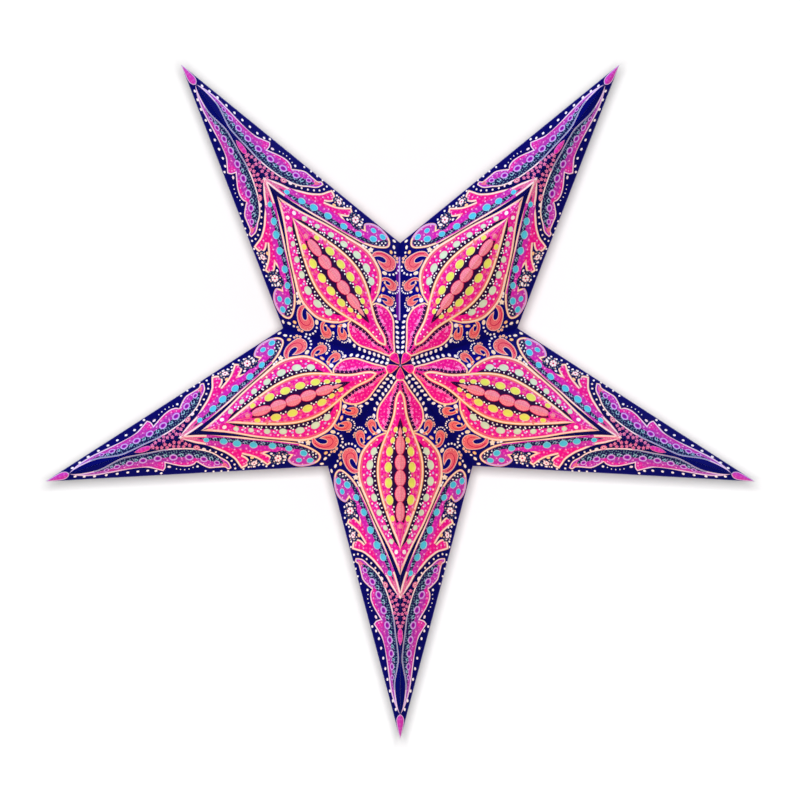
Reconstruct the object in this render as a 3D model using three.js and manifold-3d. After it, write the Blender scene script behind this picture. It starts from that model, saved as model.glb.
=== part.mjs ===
// Five-pointed paper star lantern: a printed card shell that opens at one seam and folds like a fan.
// Millimetres, +Z up. The front faces -Y. The origin is the notch that the lantern hangs from.

import * as THREE from 'three';
import { mergeVertices } from 'three/addons/utils/BufferGeometryUtils.js';
import Module from 'manifold-3d';

const wasm = await Module();
wasm.setup();

// The open star
const pointCount = 5;
const tipRadius = 315; // star centre to a tip, seen from the front
const notchRadius = 104; // star centre to a notch
const halfDepth = 100; // plane of the tips to the front or back centre

// Card and its creases
const cardThickness = 0.3;
const creaseGap = 0.15; // a panel's edge to the crease line that it shares with its neighbour
const ridgeMitreAngle = THREE.MathUtils.degToRad(3); // leaves room to fold a ridge nearly shut
const sideMitreAngle = THREE.MathUtils.degToRad(50); // leaves room for the side edge as it stands open

// Punched bead windows: routes run from the star's centre outwards, in shares of the ridge's
// length and of the notch's height above the ridge
const windowSides = 8;
const windowRows = [
  { routeShares: [[0.236, 0.144], [0.303, 0.181], [0.366, 0.147]], count: 4, length: 8.8, width: 8.6 },
  { routeShares: [[0.252, 0.363], [0.335, 0.504], [0.412, 0.288]], count: 5, length: 7.8, width: 7.2 },
  { routeShares: [[0.39, 0.605], [0.461, 0.409], [0.528, 0.233]], count: 5, length: 6.6, width: 7 },
];

// Translucent liner pasted behind the windows
const linerThickness = 0.1;
const pasteGap = 0.1; // between two sheets pasted together
const linerRidgeInset = 9;
const linerEdgeInset = 11.5;
const linerTipTrim = 95; // the tip has no windows, so the liner stops short of it

// Glue laps that join the points to each other and close each point
const lapInset = 2;
const lapWidth = 8;
const lapTaper = 6;
const lapRidgeClearance = 12;
const lapNotchTrim = 16;

// Seam flanges, which face each other across the seam, with the eyelets for the ties
const seamGap = 0.3;
const flangeWidth = 14;
const flangeCentreTrim = 24;
const flangeCentreTaper = 46; // long, so that the two flanges of a folded star pass each other
const flangeNotchTrim = 22; // leaves the notch open, where the lamp's cord goes through
const flangeNotchTaper = 8;
const flangeRootOverlap = 0.05; // runs up into the panel that the flange is folded from
const frontEyeletShares = [0.48, 0.87];
const backEyeletShares = [0.48];
const eyeletSides = 16;
const eyeletBore = 1.9;
const eyeletBarrel = 2.3;
const eyeletRim = 3.9;
const eyeletRimThickness = 0.5;
const eyeletClearance = 0.2;

// Finishes
const printedCard = { color: 0xb02a86, roughness: 0.62, metalness: 0 };
const tissue = { color: 0xdfe58c, roughness: 0.8, metalness: 0 };
const bareCard = { color: 0xf1eadb, roughness: 0.85, metalness: 0 };
const brass = { color: 0xc8a04a, roughness: 0.35, metalness: 1 };

const turnPerPoint = (2 * Math.PI) / pointCount;
const faces = [{ name: 'front', side: -1 }, { name: 'back', side: 1 }];

function rimPlace(radius, turn) {
  return new THREE.Vector3(radius * Math.sin(turn), 0, radius * Math.cos(turn));
}

// Points are numbered clockwise from the seam, seen from the front
function tipOf(point) {
  return rimPlace(tipRadius, (point - 1 / 2) * turnPerPoint);
}

function notchAfter(point) {
  return rimPlace(notchRadius, point * turnPerPoint);
}

const seamNotch = notchAfter(0);

function centreOf(face) {
  return new THREE.Vector3(0, face.side * halfDepth, 0);
}

// One panel's flat shape: the centre corner is at 0, 0, the ridge runs along x and the notch is up y
const ridgeLength = tipOf(1).distanceTo(centreOf(faces[0]));
const ridgeDirection = tipOf(1).sub(centreOf(faces[0])).normalize();
const valleyVector = seamNotch.clone().sub(centreOf(faces[0]));
const notchAlong = valleyVector.dot(ridgeDirection);
const notchHeight = Math.sqrt(valleyVector.lengthSq() - notchAlong ** 2);
const valleyLength = valleyVector.length();
const sideLength = tipOf(1).distanceTo(seamNotch);
const centreAngle = Math.asin(notchHeight / valleyLength);
const tipAngle = Math.asin(notchHeight / sideLength);

const centreCorner = new THREE.Vector2(0, 0);
const tipCorner = new THREE.Vector2(ridgeLength, 0);
const notchCorner = new THREE.Vector2(notchAlong, notchHeight);

function lineCrossing(start, direction, otherStart, otherDirection) {
  const apart = otherStart.clone().sub(start);
  const reach = apart.cross(otherDirection) / direction.cross(otherDirection);
  return start.clone().addScaledVector(direction, reach);
}

// A counter-clockwise outline with each edge moved inwards by its own inset
function insetOutline(corners, insets) {
  const edges = corners.map((corner, i) => {
    const direction = corners[(i + 1) % corners.length].clone().sub(corner).normalize();
    const inwards = new THREE.Vector2(-direction.y, direction.x);
    return { start: corner.clone().addScaledVector(inwards, insets[i]), direction };
  });
  return edges.map((edge, i) => {
    const before = edges[(i + edges.length - 1) % edges.length];
    return lineCrossing(before.start, before.direction, edge.start, edge.direction);
  });
}

function panelOutline(ridgeInset, sideInset, valleyInset) {
  return insetOutline([centreCorner, tipCorner, notchCorner], [ridgeInset, sideInset, valleyInset]);
}

// A strip beside an edge, with its far side shortened by a taper at each end
function edgeStrip(start, end, startTrim, endTrim, inset, width, startTaper, endTaper) {
  const along = end.clone().sub(start);
  const length = along.length();
  along.normalize();
  const places = [
    [startTrim, inset],
    [length - endTrim, inset],
    [length - endTrim - endTaper, inset + width],
    [startTrim + startTaper, inset + width],
  ];
  const across = new THREE.Vector2(-along.y, along.x);
  return places.map(([reach, side]) => {
    return start.clone().addScaledVector(along, reach).addScaledVector(across, side);
  });
}

// The mirrored outline keeps its direction of travel
function handed(outline, hand) {
  const mirrored = outline.map((place) => new THREE.Vector2(place.x, place.y * hand));
  return hand > 0 ? mirrored : mirrored.reverse();
}

function beadWindow(place, direction, length, width) {
  const across = new THREE.Vector2(-direction.y, direction.x);
  return Array.from({ length: windowSides }, (_, i) => {
    const turn = (-2 * Math.PI * (i + 1 / 2)) / windowSides;
    return place
      .clone()
      .addScaledVector(direction, (length / 2) * Math.cos(turn))
      .addScaledVector(across, (width / 2) * Math.sin(turn));
  });
}

function rowOfWindows({ routeShares, count, length, width }) {
  const stops = routeShares.map(([along, up]) => new THREE.Vector2(along * ridgeLength, up * notchHeight));
  const route = new THREE.QuadraticBezierCurve(...stops);
  return Array.from({ length: count }, (_, i) => {
    const share = i / (count - 1);
    return beadWindow(route.getPointAt(share), route.getTangentAt(share), length, width);
  });
}

// A plate between two outlines with the same number of corners, with straight holes through it
function loftPlate(outerOutline, innerOutline, holes, thickness) {
  const positions = [];
  const index = [];
  const addFace = (outline, height, facesDown) => {
    const first = positions.length / 3;
    [outline, ...holes].flat().forEach((place) => positions.push(place.x, place.y, height));
    for (const [a, b, c] of THREE.ShapeUtils.triangulateShape(outline, holes)) {
      index.push(first + a, first + (facesDown ? c : b), first + (facesDown ? b : c));
    }
    return first;
  };
  const top = addFace(outerOutline, 0, false);
  const bottom = addFace(innerOutline, -thickness, true);
  let offset = 0;
  for (const loop of [outerOutline, ...holes]) {
    loop.forEach((_, i) => {
      const here = offset + i;
      const next = offset + ((i + 1) % loop.length);
      index.push(top + here, bottom + here, bottom + next);
      index.push(top + here, bottom + next, top + next);
    });
    offset += loop.length;
  }
  const geometry = new THREE.BufferGeometry();
  geometry.setAttribute('position', new THREE.Float32BufferAttribute(positions, 3));
  geometry.setIndex(index);
  return geometry;
}

// Outer face at z = 0. The ridge and side edges are mitred on the inside, the valley edge is square.
function panelGeometry(hand) {
  const outer = panelOutline(creaseGap, creaseGap, creaseGap);
  const ridgeInset = creaseGap + cardThickness / Math.tan(ridgeMitreAngle);
  const sideInset = creaseGap + cardThickness / Math.tan(sideMitreAngle);
  const inner = panelOutline(ridgeInset, sideInset, creaseGap);
  const windows = windowRows.flatMap(rowOfWindows);
  const mirroredInner = handed(inner, hand);
  const mirroredWindows = windows.map((window) => handed(window, hand));
  return loftPlate(handed(outer, hand), mirroredInner, mirroredWindows, cardThickness);
}

function sheetGeometry(outline, thickness, holes = []) {
  const shape = new THREE.Shape(outline);
  shape.holes = holes.map((hole) => new THREE.Path(hole));
  return new THREE.ExtrudeGeometry(shape, { depth: thickness, bevelEnabled: false });
}

function linerOutline() {
  const [centre, tip, notch] = panelOutline(linerRidgeInset, linerEdgeInset, linerEdgeInset);
  const towardsNotch = notch.clone().sub(tip).normalize();
  const trimmedRidge = new THREE.Vector2(tip.x - linerTipTrim, tip.y);
  const trimmedSide = tip.clone().addScaledVector(towardsNotch, linerTipTrim);
  return [centre, trimmedRidge, trimmedSide, notch];
}

// A lap starts where its inner side is clear of the ridge, so that a folded point shuts over it
function lapStart(cornerAngle) {
  return (lapRidgeClearance + (lapInset + lapWidth) * Math.cos(cornerAngle)) / Math.sin(cornerAngle);
}

function valleyLapOutline() {
  const centreTrim = lapStart(centreAngle);
  return edgeStrip(
    notchCorner, centreCorner, lapNotchTrim, centreTrim, lapInset, lapWidth, lapTaper, lapTaper);
}

function sideLapOutline() {
  const tipTrim = lapStart(tipAngle);
  return edgeStrip(
    tipCorner, notchCorner, tipTrim, lapNotchTrim, lapInset, lapWidth, lapTaper, lapTaper);
}

function toManifold(geometry) {
  const bare = geometry.clone();
  bare.deleteAttribute('normal');
  bare.deleteAttribute('uv');
  const merged = mergeVertices(bare);
  return new wasm.Manifold(new wasm.Mesh({
    numProp: 3,
    vertProperties: merged.attributes.position.array,
    triVerts: new Uint32Array(merged.index.array),
  }));
}

function fromManifold(solid) {
  const mesh = solid.getMesh();
  const geometry = new THREE.BufferGeometry();
  geometry.setAttribute('position', new THREE.BufferAttribute(mesh.vertProperties, 3));
  geometry.setIndex(new THREE.BufferAttribute(mesh.triVerts, 1));
  return geometry;
}

// Where a panel lies: x along its ridge, z out of its printed face
function panelPlace(face, point, half) {
  const centre = centreOf(face);
  const along = tipOf(point).sub(centre).normalize();
  const across = notchAfter(half === 'a' ? point - 1 : point).sub(centre);
  const outwards = along.clone().cross(across).normalize();
  if (outwards.dot(centre) < 0) {
    outwards.negate();
  }
  const upwards = outwards.clone().cross(along);
  const matrix = new THREE.Matrix4().makeBasis(along, upwards, outwards).setPosition(centre);
  return { matrix, hand: Math.sign(upwards.dot(across)) };
}

// Where a seam flange lies: x along the valley from the star's centre, y into the star
function flangePlace(face) {
  const centre = centreOf(face);
  const along = seamNotch.clone().sub(centre).normalize();
  const inwards = centre.clone().negate();
  inwards.addScaledVector(along, -inwards.dot(along)).normalize();
  const across = along.clone().cross(inwards);
  return { matrix: new THREE.Matrix4().makeBasis(along, inwards, across).setPosition(centre), across };
}

function flangeOutline() {
  const start = new THREE.Vector2(0, 0);
  const end = new THREE.Vector2(valleyLength, 0);
  const width = flangeRootOverlap + flangeWidth;
  return edgeStrip(
    start, end, flangeCentreTrim, flangeNotchTrim, -flangeRootOverlap, width,
    flangeCentreTaper, flangeNotchTaper);
}

function eyeletPlaces(shares) {
  const length = valleyLength - flangeCentreTrim - flangeNotchTrim;
  return shares.map((share) => new THREE.Vector2(flangeCentreTrim + share * length, flangeWidth / 2));
}

// The two flanges of the seam lie on either side of it: the a half of point 1 is at +X
function seamSide(half) {
  return half === 'a' ? 1 : -1;
}

function flangeShares(face) {
  return face.name === 'front' ? frontEyeletShares : backEyeletShares;
}

function addFlange(geometry, face, half, placeOfPanel) {
  const { matrix, across } = flangePlace(face);
  const holes = eyeletPlaces(flangeShares(face)).map((place) => {
    const hole = new THREE.Path();
    hole.absarc(place.x, place.y, eyeletBarrel + eyeletClearance, 0, 2 * Math.PI, true);
    return hole.getSpacedPoints(eyeletSides).slice(0, -1);
  });
  const flange = sheetGeometry(flangeOutline(), cardThickness, holes);
  const isAhead = Math.sign(across.x) === seamSide(half);
  flange.translate(0, 0, isAhead ? seamGap / 2 : -seamGap / 2 - cardThickness);
  flange.applyMatrix4(matrix).applyMatrix4(placeOfPanel.clone().invert());
  return fromManifold(toManifold(geometry).add(toManifold(flange)));
}

// Rolled rim on the inside of the flange, barrel through it
function eyeletGeometry() {
  const rimStart = cardThickness + pasteGap;
  const rimEnd = rimStart + eyeletRimThickness;
  const profile = [
    [eyeletBore, 0],
    [eyeletBarrel, 0],
    [eyeletBarrel, rimStart],
    [eyeletRim, rimStart],
    [eyeletRim, (rimStart + rimEnd) / 2],
    [(eyeletRim + eyeletBarrel) / 2, rimEnd],
    [eyeletBore, (rimStart + rimEnd) / 2],
    [eyeletBore, 0],
  ].map(([radius, height]) => new THREE.Vector2(radius, height));
  return new THREE.LatheGeometry(profile, eyeletSides);
}

function namedMesh(name, geometry, finish) {
  const mesh = new THREE.Mesh(geometry, new THREE.MeshStandardMaterial(finish));
  mesh.name = name;
  return mesh;
}

function addEyelets(parent, face, half) {
  const { matrix } = flangePlace(face);
  eyeletPlaces(flangeShares(face)).forEach((place, i) => {
    const mesh = namedMesh(`seam_eyelet_${face.name}_${half}_${i + 1}`, eyeletGeometry(), brass);
    const away = seamSide(half);
    const centre = new THREE.Vector3(place.x, place.y, 0).applyMatrix4(matrix);
    mesh.position.set((away * seamGap) / 2, centre.y, centre.z);
    mesh.rotation.z = (-away * Math.PI) / 2;
    parent.add(mesh);
  });
}

function sheetBehind(name, outline, hand, thickness, finish) {
  const mesh = namedMesh(name, sheetGeometry(handed(outline, hand), thickness), finish);
  mesh.position.z = -cardThickness - pasteGap - thickness;
  return mesh;
}

const group = new THREE.Group();
const star = new THREE.Group();
star.position.z = -notchRadius;
group.add(star);

for (const face of faces) {
  for (let point = 1; point <= pointCount; point += 1) {
    for (const half of ['a', 'b']) {
      const { matrix, hand } = panelPlace(face, point, half);
      const panelGroup = new THREE.Group();
      panelGroup.applyMatrix4(matrix);
      const name = `point_${point}_${face.name}`;
      const meetsSeam = half === 'a' ? point === 1 : point === pointCount;
      let geometry = panelGeometry(hand);
      if (meetsSeam) {
        geometry = addFlange(geometry, face, half, matrix);
        addEyelets(star, face, half);
      }
      panelGroup.add(namedMesh(`${name}_panel_${half}`, geometry, printedCard));
      panelGroup.add(sheetBehind(`${name}_liner_${half}`, linerOutline(), hand, linerThickness, tissue));
      if (half === 'a' && !meetsSeam) {
        const lap = valleyLapOutline();
        panelGroup.add(sheetBehind(`${name}_valley_lap`, lap, hand, cardThickness, bareCard));
      }
      if (half === 'a' && face.name === 'back') {
        const lap = sideLapOutline();
        panelGroup.add(sheetBehind(`point_${point}_side_lap`, lap, hand, cardThickness, bareCard));
      }
      star.add(panelGroup);
    }
  }
}

export default group;
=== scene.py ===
import math

import bmesh
import bpy
from mathutils import Matrix, Vector
from mathutils.geometry import delaunay_2d_cdt, interpolate_bezier, intersect_point_line


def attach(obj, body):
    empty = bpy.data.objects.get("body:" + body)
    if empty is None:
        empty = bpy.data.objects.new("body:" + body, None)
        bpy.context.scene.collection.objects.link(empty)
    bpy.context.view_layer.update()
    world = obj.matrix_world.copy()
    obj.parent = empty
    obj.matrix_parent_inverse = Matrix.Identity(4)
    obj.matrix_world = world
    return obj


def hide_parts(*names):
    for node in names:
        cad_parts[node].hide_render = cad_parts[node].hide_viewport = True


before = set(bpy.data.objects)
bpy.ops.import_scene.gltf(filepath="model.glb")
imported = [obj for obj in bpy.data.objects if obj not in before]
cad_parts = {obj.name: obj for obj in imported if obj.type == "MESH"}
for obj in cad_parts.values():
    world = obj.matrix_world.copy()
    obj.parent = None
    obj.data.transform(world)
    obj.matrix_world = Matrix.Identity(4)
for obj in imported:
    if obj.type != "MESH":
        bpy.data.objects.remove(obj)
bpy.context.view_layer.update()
print("frame loaded:", len(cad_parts), "nodes")

mm = 0.001

# The star as it is packed, in millimetres: its centre hangs a notch radius below the origin
star = {
    "points": 5,
    "tipRadius": 315,
    "notchRadius": 104,
    "halfDepth": 100,
    "card": 0.3,
    "creaseGap": 0.03,  # at the ridge and the side, where panels fold; a valley is closed
    "ridgeMitre": 3,  # degrees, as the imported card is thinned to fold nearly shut
    "sideMitre": 50,
}
turnPerPoint = 2 * math.pi / star["points"]
starCentre = Vector((0, 0, -star["notchRadius"]))


# Camera
photoView = {
    "lens": 260,  # a long lens, since the photograph shows hardly any perspective
    "sensor": 36,
    "width": 675,  # what the photograph's side covers at the rim of the star, in mm
    "height": -132.5,  # of the picture's middle
    "aside": -0.2,
    "farthest": 50,  # what the lens still sees, in m
}


def setCamera():
    lens = bpy.data.cameras.new("photoLens")
    lens.lens = photoView["lens"]
    lens.sensor_width = photoView["sensor"]
    lens.clip_end = photoView["farthest"]
    camera = bpy.data.objects.new("photoCamera", lens)
    bpy.context.scene.collection.objects.link(camera)
    distance = photoView["width"] * photoView["lens"] / photoView["sensor"]
    camera.location = Vector((photoView["aside"], -distance, photoView["height"])) * mm
    camera.rotation_euler = (math.pi / 2, 0, 0)
    bpy.context.scene.camera = camera


setCamera()
print("camera set")


# Colours and nodes
def linear(hexColour):
    shares = [int(hexColour[i:i + 2], 16) / 255 for i in (1, 3, 5)]
    return [s / 12.92 if s <= 0.04045 else ((s + 0.055) / 1.055) ** 2.4 for s in shares]


def colour(hexColour):
    return (*linear(hexColour), 1)


def addNode(tree, kind, links=None, **settings):
    node = tree.nodes.new("ShaderNode" + kind)
    for name, value in settings.items():
        if hasattr(node, name):
            setattr(node, name, value)
        else:
            node.inputs[name.replace("_", " ")].default_value = value
    for name, source in (links or {}).items():
        tree.links.new(source, node.inputs[name])
    return node


# What a noise texture mostly gives
noiseSpan = {"From_Min": 0.3, "From_Max": 0.7}


def newFinish(name):
    finish = bpy.data.materials.new(name)
    finish.use_nodes = True
    tree = finish.node_tree
    tree.nodes.clear()
    return finish, tree


# Offset-printed coated card: flat bright inks with a soft sheen, a trace of paper tooth and
# a sheet that never lies quite flat
printedCardLook = {
    "roughness": 0.5,
    "roughnessSpread": 0.05,
    "specular": 0.015,  # a dead matt varnish
    "mottleSize": 2.5,  # cloudiness of the solid ink, in mm
    "mottle": 0.07,
    "toothSize": 0.35,
    "toothHeight": 0.006,
    "buckleSize": 70,
    "buckleHeight": 0.5,
    "dotShare": 0.26,  # radius of a printed stipple dot, as a share of the dots' spacing
    "dotBlur": 0.07,
    "dotJitter": 0.45,
}


def printedCard():
    look = printedCardLook
    finish, tree = newFinish("offset_printed_coated_card")
    place = addNode(tree, "TexCoord").outputs["Object"]
    ink = addNode(tree, "Attribute", attribute_name="ink").outputs["Color"]
    stipple = addNode(tree, "Attribute", attribute_name="stipple")
    cells = addNode(
        tree, "TexVoronoi", {"Vector": addNode(tree, "UVMap", uv_map="stipplePlace").outputs["UV"]},
        voronoi_dimensions="2D", Scale=1.0, Randomness=look["dotJitter"])
    dots = addNode(
        tree, "MapRange", {"Value": cells.outputs["Distance"], "To Min": stipple.outputs["Alpha"]},
        From_Min=look["dotShare"] - look["dotBlur"], From_Max=look["dotShare"] + look["dotBlur"], To_Max=0.0)
    dotted = addNode(
        tree, "Mix", {0: dots.outputs["Result"], 6: ink, 7: stipple.outputs["Color"]}, data_type="RGBA")
    mottle = addNode(tree, "TexNoise", {"Vector": place}, Scale=1 / (look["mottleSize"] * mm), Detail=3.0)
    shade = addNode(
        tree, "MapRange", {"Value": mottle.outputs["Fac"]}, **noiseSpan,
        To_Min=1 - look["mottle"], To_Max=1 + look["mottle"])
    tinted = addNode(tree, "VectorMath", {
        "Vector": dotted.outputs[2], "Scale": shade.outputs["Result"]}, operation="SCALE")
    tooth = addNode(tree, "TexNoise", {"Vector": place}, Scale=1 / (look["toothSize"] * mm), Detail=2.0)
    buckle = addNode(tree, "TexNoise", {"Vector": place}, Scale=1 / (look["buckleSize"] * mm), Detail=1.0)
    waves = addNode(
        tree, "Bump", {"Height": buckle.outputs["Fac"]}, Strength=1.0, Distance=look["buckleHeight"] * mm)
    grain = addNode(
        tree, "Bump", {"Height": tooth.outputs["Fac"], "Normal": waves.outputs["Normal"]},
        Strength=1.0, Distance=look["toothHeight"] * mm)
    gloss = addNode(
        tree, "MapRange", {"Value": mottle.outputs["Fac"]}, **noiseSpan,
        To_Min=look["roughness"] - look["roughnessSpread"],
        To_Max=look["roughness"] + look["roughnessSpread"])
    shader = addNode(tree, "BsdfPrincipled", {
        "Base Color": tinted.outputs["Vector"],
        "Normal": grain.outputs["Normal"],
        "Roughness": gloss.outputs["Result"],
    }, Specular_IOR_Level=look["specular"])
    addNode(tree, "OutputMaterial", {"Surface": shader.outputs["BSDF"]})
    return finish


# Uncoated back of the card: warm white and matt, with short fibres
bareCardLook = {
    "light": "#F3EDDF", "dark": "#E2D8C4", "fibreSize": 0.8, "roughness": 0.9, "toothHeight": 0.02}


def bareCard():
    look = bareCardLook
    finish, tree = newFinish("uncoated_card_back")
    place = addNode(tree, "TexCoord").outputs["Object"]
    fibre = addNode(
        tree, "TexNoise", {"Vector": place}, Scale=1 / (look["fibreSize"] * mm), Detail=4.0, Distortion=1.5)
    tone = addNode(tree, "Mix", {"Factor": fibre.outputs["Fac"]}, data_type="RGBA")
    tone.inputs[6].default_value = colour(look["light"])
    tone.inputs[7].default_value = colour(look["dark"])
    tooth = addNode(
        tree, "Bump", {"Height": fibre.outputs["Fac"]}, Strength=1.0, Distance=look["toothHeight"] * mm)
    shader = addNode(
        tree, "BsdfPrincipled", {"Base Color": tone.outputs[2], "Normal": tooth.outputs["Normal"]},
        Roughness=look["roughness"])
    addNode(tree, "OutputMaterial", {"Surface": shader.outputs["BSDF"]})
    return finish


# Dyed tissue behind the windows: long matted fibres, matt, cloudy where the pulp is thicker
tissueLook = {"cloudSize": 6, "fibreSize": 0.5, "cloud": 0.08, "roughness": 0.85, "toothHeight": 0.02}


def dyedTissue():
    look = tissueLook
    finish, tree = newFinish("dyed_liner_tissue")
    place = addNode(tree, "TexCoord").outputs["Object"]
    ink = addNode(tree, "Attribute", attribute_name="ink").outputs["Color"]
    cloud = addNode(
        tree, "TexNoise", {"Vector": place}, Scale=1 / (look["cloudSize"] * mm), Detail=5.0, Distortion=0.6)
    shade = addNode(
        tree, "MapRange", {"Value": cloud.outputs["Fac"]}, **noiseSpan,
        To_Min=1 - look["cloud"], To_Max=1 + look["cloud"])
    tinted = addNode(tree, "VectorMath", {"Vector": ink, "Scale": shade.outputs["Result"]}, operation="SCALE")
    fibre = addNode(
        tree, "TexNoise", {"Vector": place}, Scale=1 / (look["fibreSize"] * mm), Detail=3.0, Distortion=2.0)
    tooth = addNode(
        tree, "Bump", {"Height": fibre.outputs["Fac"]}, Strength=1.0, Distance=look["toothHeight"] * mm)
    shader = addNode(
        tree, "BsdfPrincipled", {"Base Color": tinted.outputs["Vector"], "Normal": tooth.outputs["Normal"]},
        Roughness=look["roughness"])
    addNode(tree, "OutputMaterial", {"Surface": shader.outputs["BSDF"]})
    return finish


# Stamped brass eyelet: bright yellow metal, brushed fine by the die and dulled in patches
brassLook = {"bright": "#D9B45C", "dull": "#A67F35", "patchSize": 1.5, "shine": 0.24, "dulled": 0.42}


def stampedBrass():
    look = brassLook
    finish, tree = newFinish("stamped_brass_eyelet")
    place = addNode(tree, "TexCoord").outputs["Object"]
    patch = addNode(tree, "TexNoise", {"Vector": place}, Scale=1 / (look["patchSize"] * mm), Detail=4.0)
    tone = addNode(tree, "Mix", {"Factor": patch.outputs["Fac"]}, data_type="RGBA")
    tone.inputs[6].default_value = colour(look["bright"])
    tone.inputs[7].default_value = colour(look["dull"])
    gloss = addNode(
        tree, "MapRange", {"Value": patch.outputs["Fac"]}, **noiseSpan,
        To_Min=look["shine"], To_Max=look["dulled"])
    shader = addNode(tree, "BsdfPrincipled", {
        "Base Color": tone.outputs[2], "Roughness": gloss.outputs["Result"]}, Metallic=1.0)
    addNode(tree, "OutputMaterial", {"Surface": shader.outputs["BSDF"]})
    return finish


cardInk = printedCard()
cardBack = bareCard()
tissue = dyedTissue()
brass = stampedBrass()
print("finishes mixed")


# One panel: seen from the front, a place on it is how far it lies from the star's centre along
# the point's ridge, and how far aside of the ridge. Laid flat, the ridge runs along x.
def rimPlace(radius, turn):
    return Vector((radius * math.sin(turn), 0, radius * math.cos(turn)))


frontCentre = Vector((0, -star["halfDepth"], 0))
ridge = rimPlace(star["tipRadius"], turnPerPoint / 2) - frontCentre
valley = rimPlace(star["notchRadius"], 0) - frontCentre
ridgeLength = ridge.length
notchAlong = valley.dot(ridge.normalized())
notchHeight = math.sqrt(valley.length_squared - notchAlong ** 2)
notchSeen = Vector((
    star["notchRadius"] * math.cos(turnPerPoint / 2), star["notchRadius"] * math.sin(turnPerPoint / 2)))
ridgeStretch = ridgeLength / star["tipRadius"]
notchStretch = notchHeight / notchSeen.y
notchLean = (notchAlong - notchSeen.x * ridgeStretch) / notchSeen.y
sideSlope = notchSeen.y / (star["tipRadius"] - notchSeen.x)
flatCorners = [Vector((0, 0)), Vector((ridgeLength, 0)), Vector((notchAlong, notchHeight))]


def laidFlat(place):
    return Vector((place[0] * ridgeStretch + place[1] * notchLean, place[1] * notchStretch))


def edgeAt(along):
    return min(along * notchSeen.y / notchSeen.x, (star["tipRadius"] - along) * sideSlope)


# A triangle's corners with its ridge, side and valley edges moved inwards
def insetCorners(corners, insets):
    lines = []
    for i, corner in enumerate(corners):
        direction = (corners[(i + 1) % 3] - corner).normalized()
        inwards = Vector((-direction.y, direction.x))
        lines.append((corner + inwards * insets[i], direction))
    moved = []
    for i, (start, direction) in enumerate(lines):
        before, beforeDirection = lines[i - 1]
        reach = (start - before).cross(direction) / beforeDirection.cross(direction)
        moved.append(before + beforeDirection * reach)
    return moved


# Inks: their colours at distances from the star's centre, in mm
inks = {
    "navy": [(0, "#1E0640"), (40, "#0A047D"), (62, "#040491"), (110, "#080456"), (220, "#060650"),
             (250, "#02066E"), (290, "#020664"), (315, "#040846")],
    "night": [(0, "#370646"), (120, "#230A3C"), (315, "#0F0E40")],
    "slate": [(0, "#829BBE")],
    "midnight": [(0, "#2B084A"), (120, "#1F1450"), (315, "#121C55")],
    "pink": [(0, "#F01496"), (70, "#F01293"), (130, "#EC1EA0"), (190, "#E61EA5"), (315, "#CC3CBE")],
    "magenta": [(0, "#B43CB4"), (112, "#C337B4"), (130, "#F01496"), (168, "#F01291"), (184, "#E650A0"),
                (200, "#F08CA0"), (212, "#DC32AF")],
    "fuchsia": [(0, "#D228B4"), (135, "#D723B4"), (165, "#C82DAF"), (315, "#BE3CAF")],
    "violet": [(0, "#C832AF"), (120, "#BE2DB9"), (220, "#AF32AF"), (315, "#A550BE")],
    "coral": [(0, "#FA8278"), (60, "#F27878"), (90, "#F06E82"), (160, "#F07896"), (315, "#E67DBE")],
    "rose": [(0, "#F58290"), (90, "#F4829B"), (160, "#F482A0"), (188, "#DC64A0"), (315, "#D26EB9")],
    "plum": [(0, "#6E1496")],
    "scuffed": [(0, "#9682BE")],
    "coralDeep": [(0, "#DC1E46"), (160, "#CD1E64"), (315, "#A02882")],
    "peachLight": [(0, "#FFCDAF"), (315, "#E6C8DC")],
    "peach": [(0, "#FF9E87"), (60, "#FCB06E"), (110, "#FCB478"), (160, "#FFC3AA"), (210, "#F5C8D7"),
              (315, "#D2B9E6")],
    "cream": [(0, "#FFEBDC"), (60, "#FFEBCD"), (120, "#FFEEDC"), (220, "#FAE1F2"), (315, "#E6D2F5")],
    "blush": [(0, "#FF82CD"), (60, "#FF96D7"), (160, "#F8A5DC"), (315, "#DC9BE6")],
    "white": [(0, "#FFF8F6"), (315, "#FAF3FF")],
    "lilac": [(0, "#DCAFF5"), (315, "#C8A5F0")],
    "purple": [(0, "#9614B4"), (315, "#8214A0")],
    "teal": [(0, "#A0B9D2"), (220, "#8CC3D7"), (315, "#96AFDC")],
    "straw": [(0, "#FFDC96")],
    "mist": [(0, "#C8DCD2")],
    "sky": [(0, "#96DCF5")],
    "yellow": [(0, "#E6EB5F")],
    "green": [(0, "#D7EBCD")],
    "cyan": [(0, "#4BC8E9")],
    "worn": [(0, "#503C96"), (315, "#46508C")],
}
# The colours that two inks turn to beside the panel's outer edge, over these shares of its width
edgeInks = {"navy": "#060664", "violet": "#C82DB9"}
edgeBlend = {"start": 0.5, "end": 0.95}
# Inks that are printed with a stipple: of which ink, how far apart in mm, and how strong
stipples = {
    "pink": ("blush", 3.2, 0.2),
    "magenta": ("blush", 3.1, 0.18),
    "fuchsia": ("blush", 3.0, 0.2),
    "violet": ("blush", 3.0, 0.3),
    "coral": ("coralDeep", 1.5, 0.45),
    "rose": ("peachLight", 1.6, 0.5),
    "midnight": ("teal", 2.2, 0.4),
}
inkRamps = {name: [(reach, Vector(linear(tone))) for reach, tone in ramp] for name, ramp in inks.items()}
edgeTones = {name: Vector(linear(tone)) for name, tone in edgeInks.items()}


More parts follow.
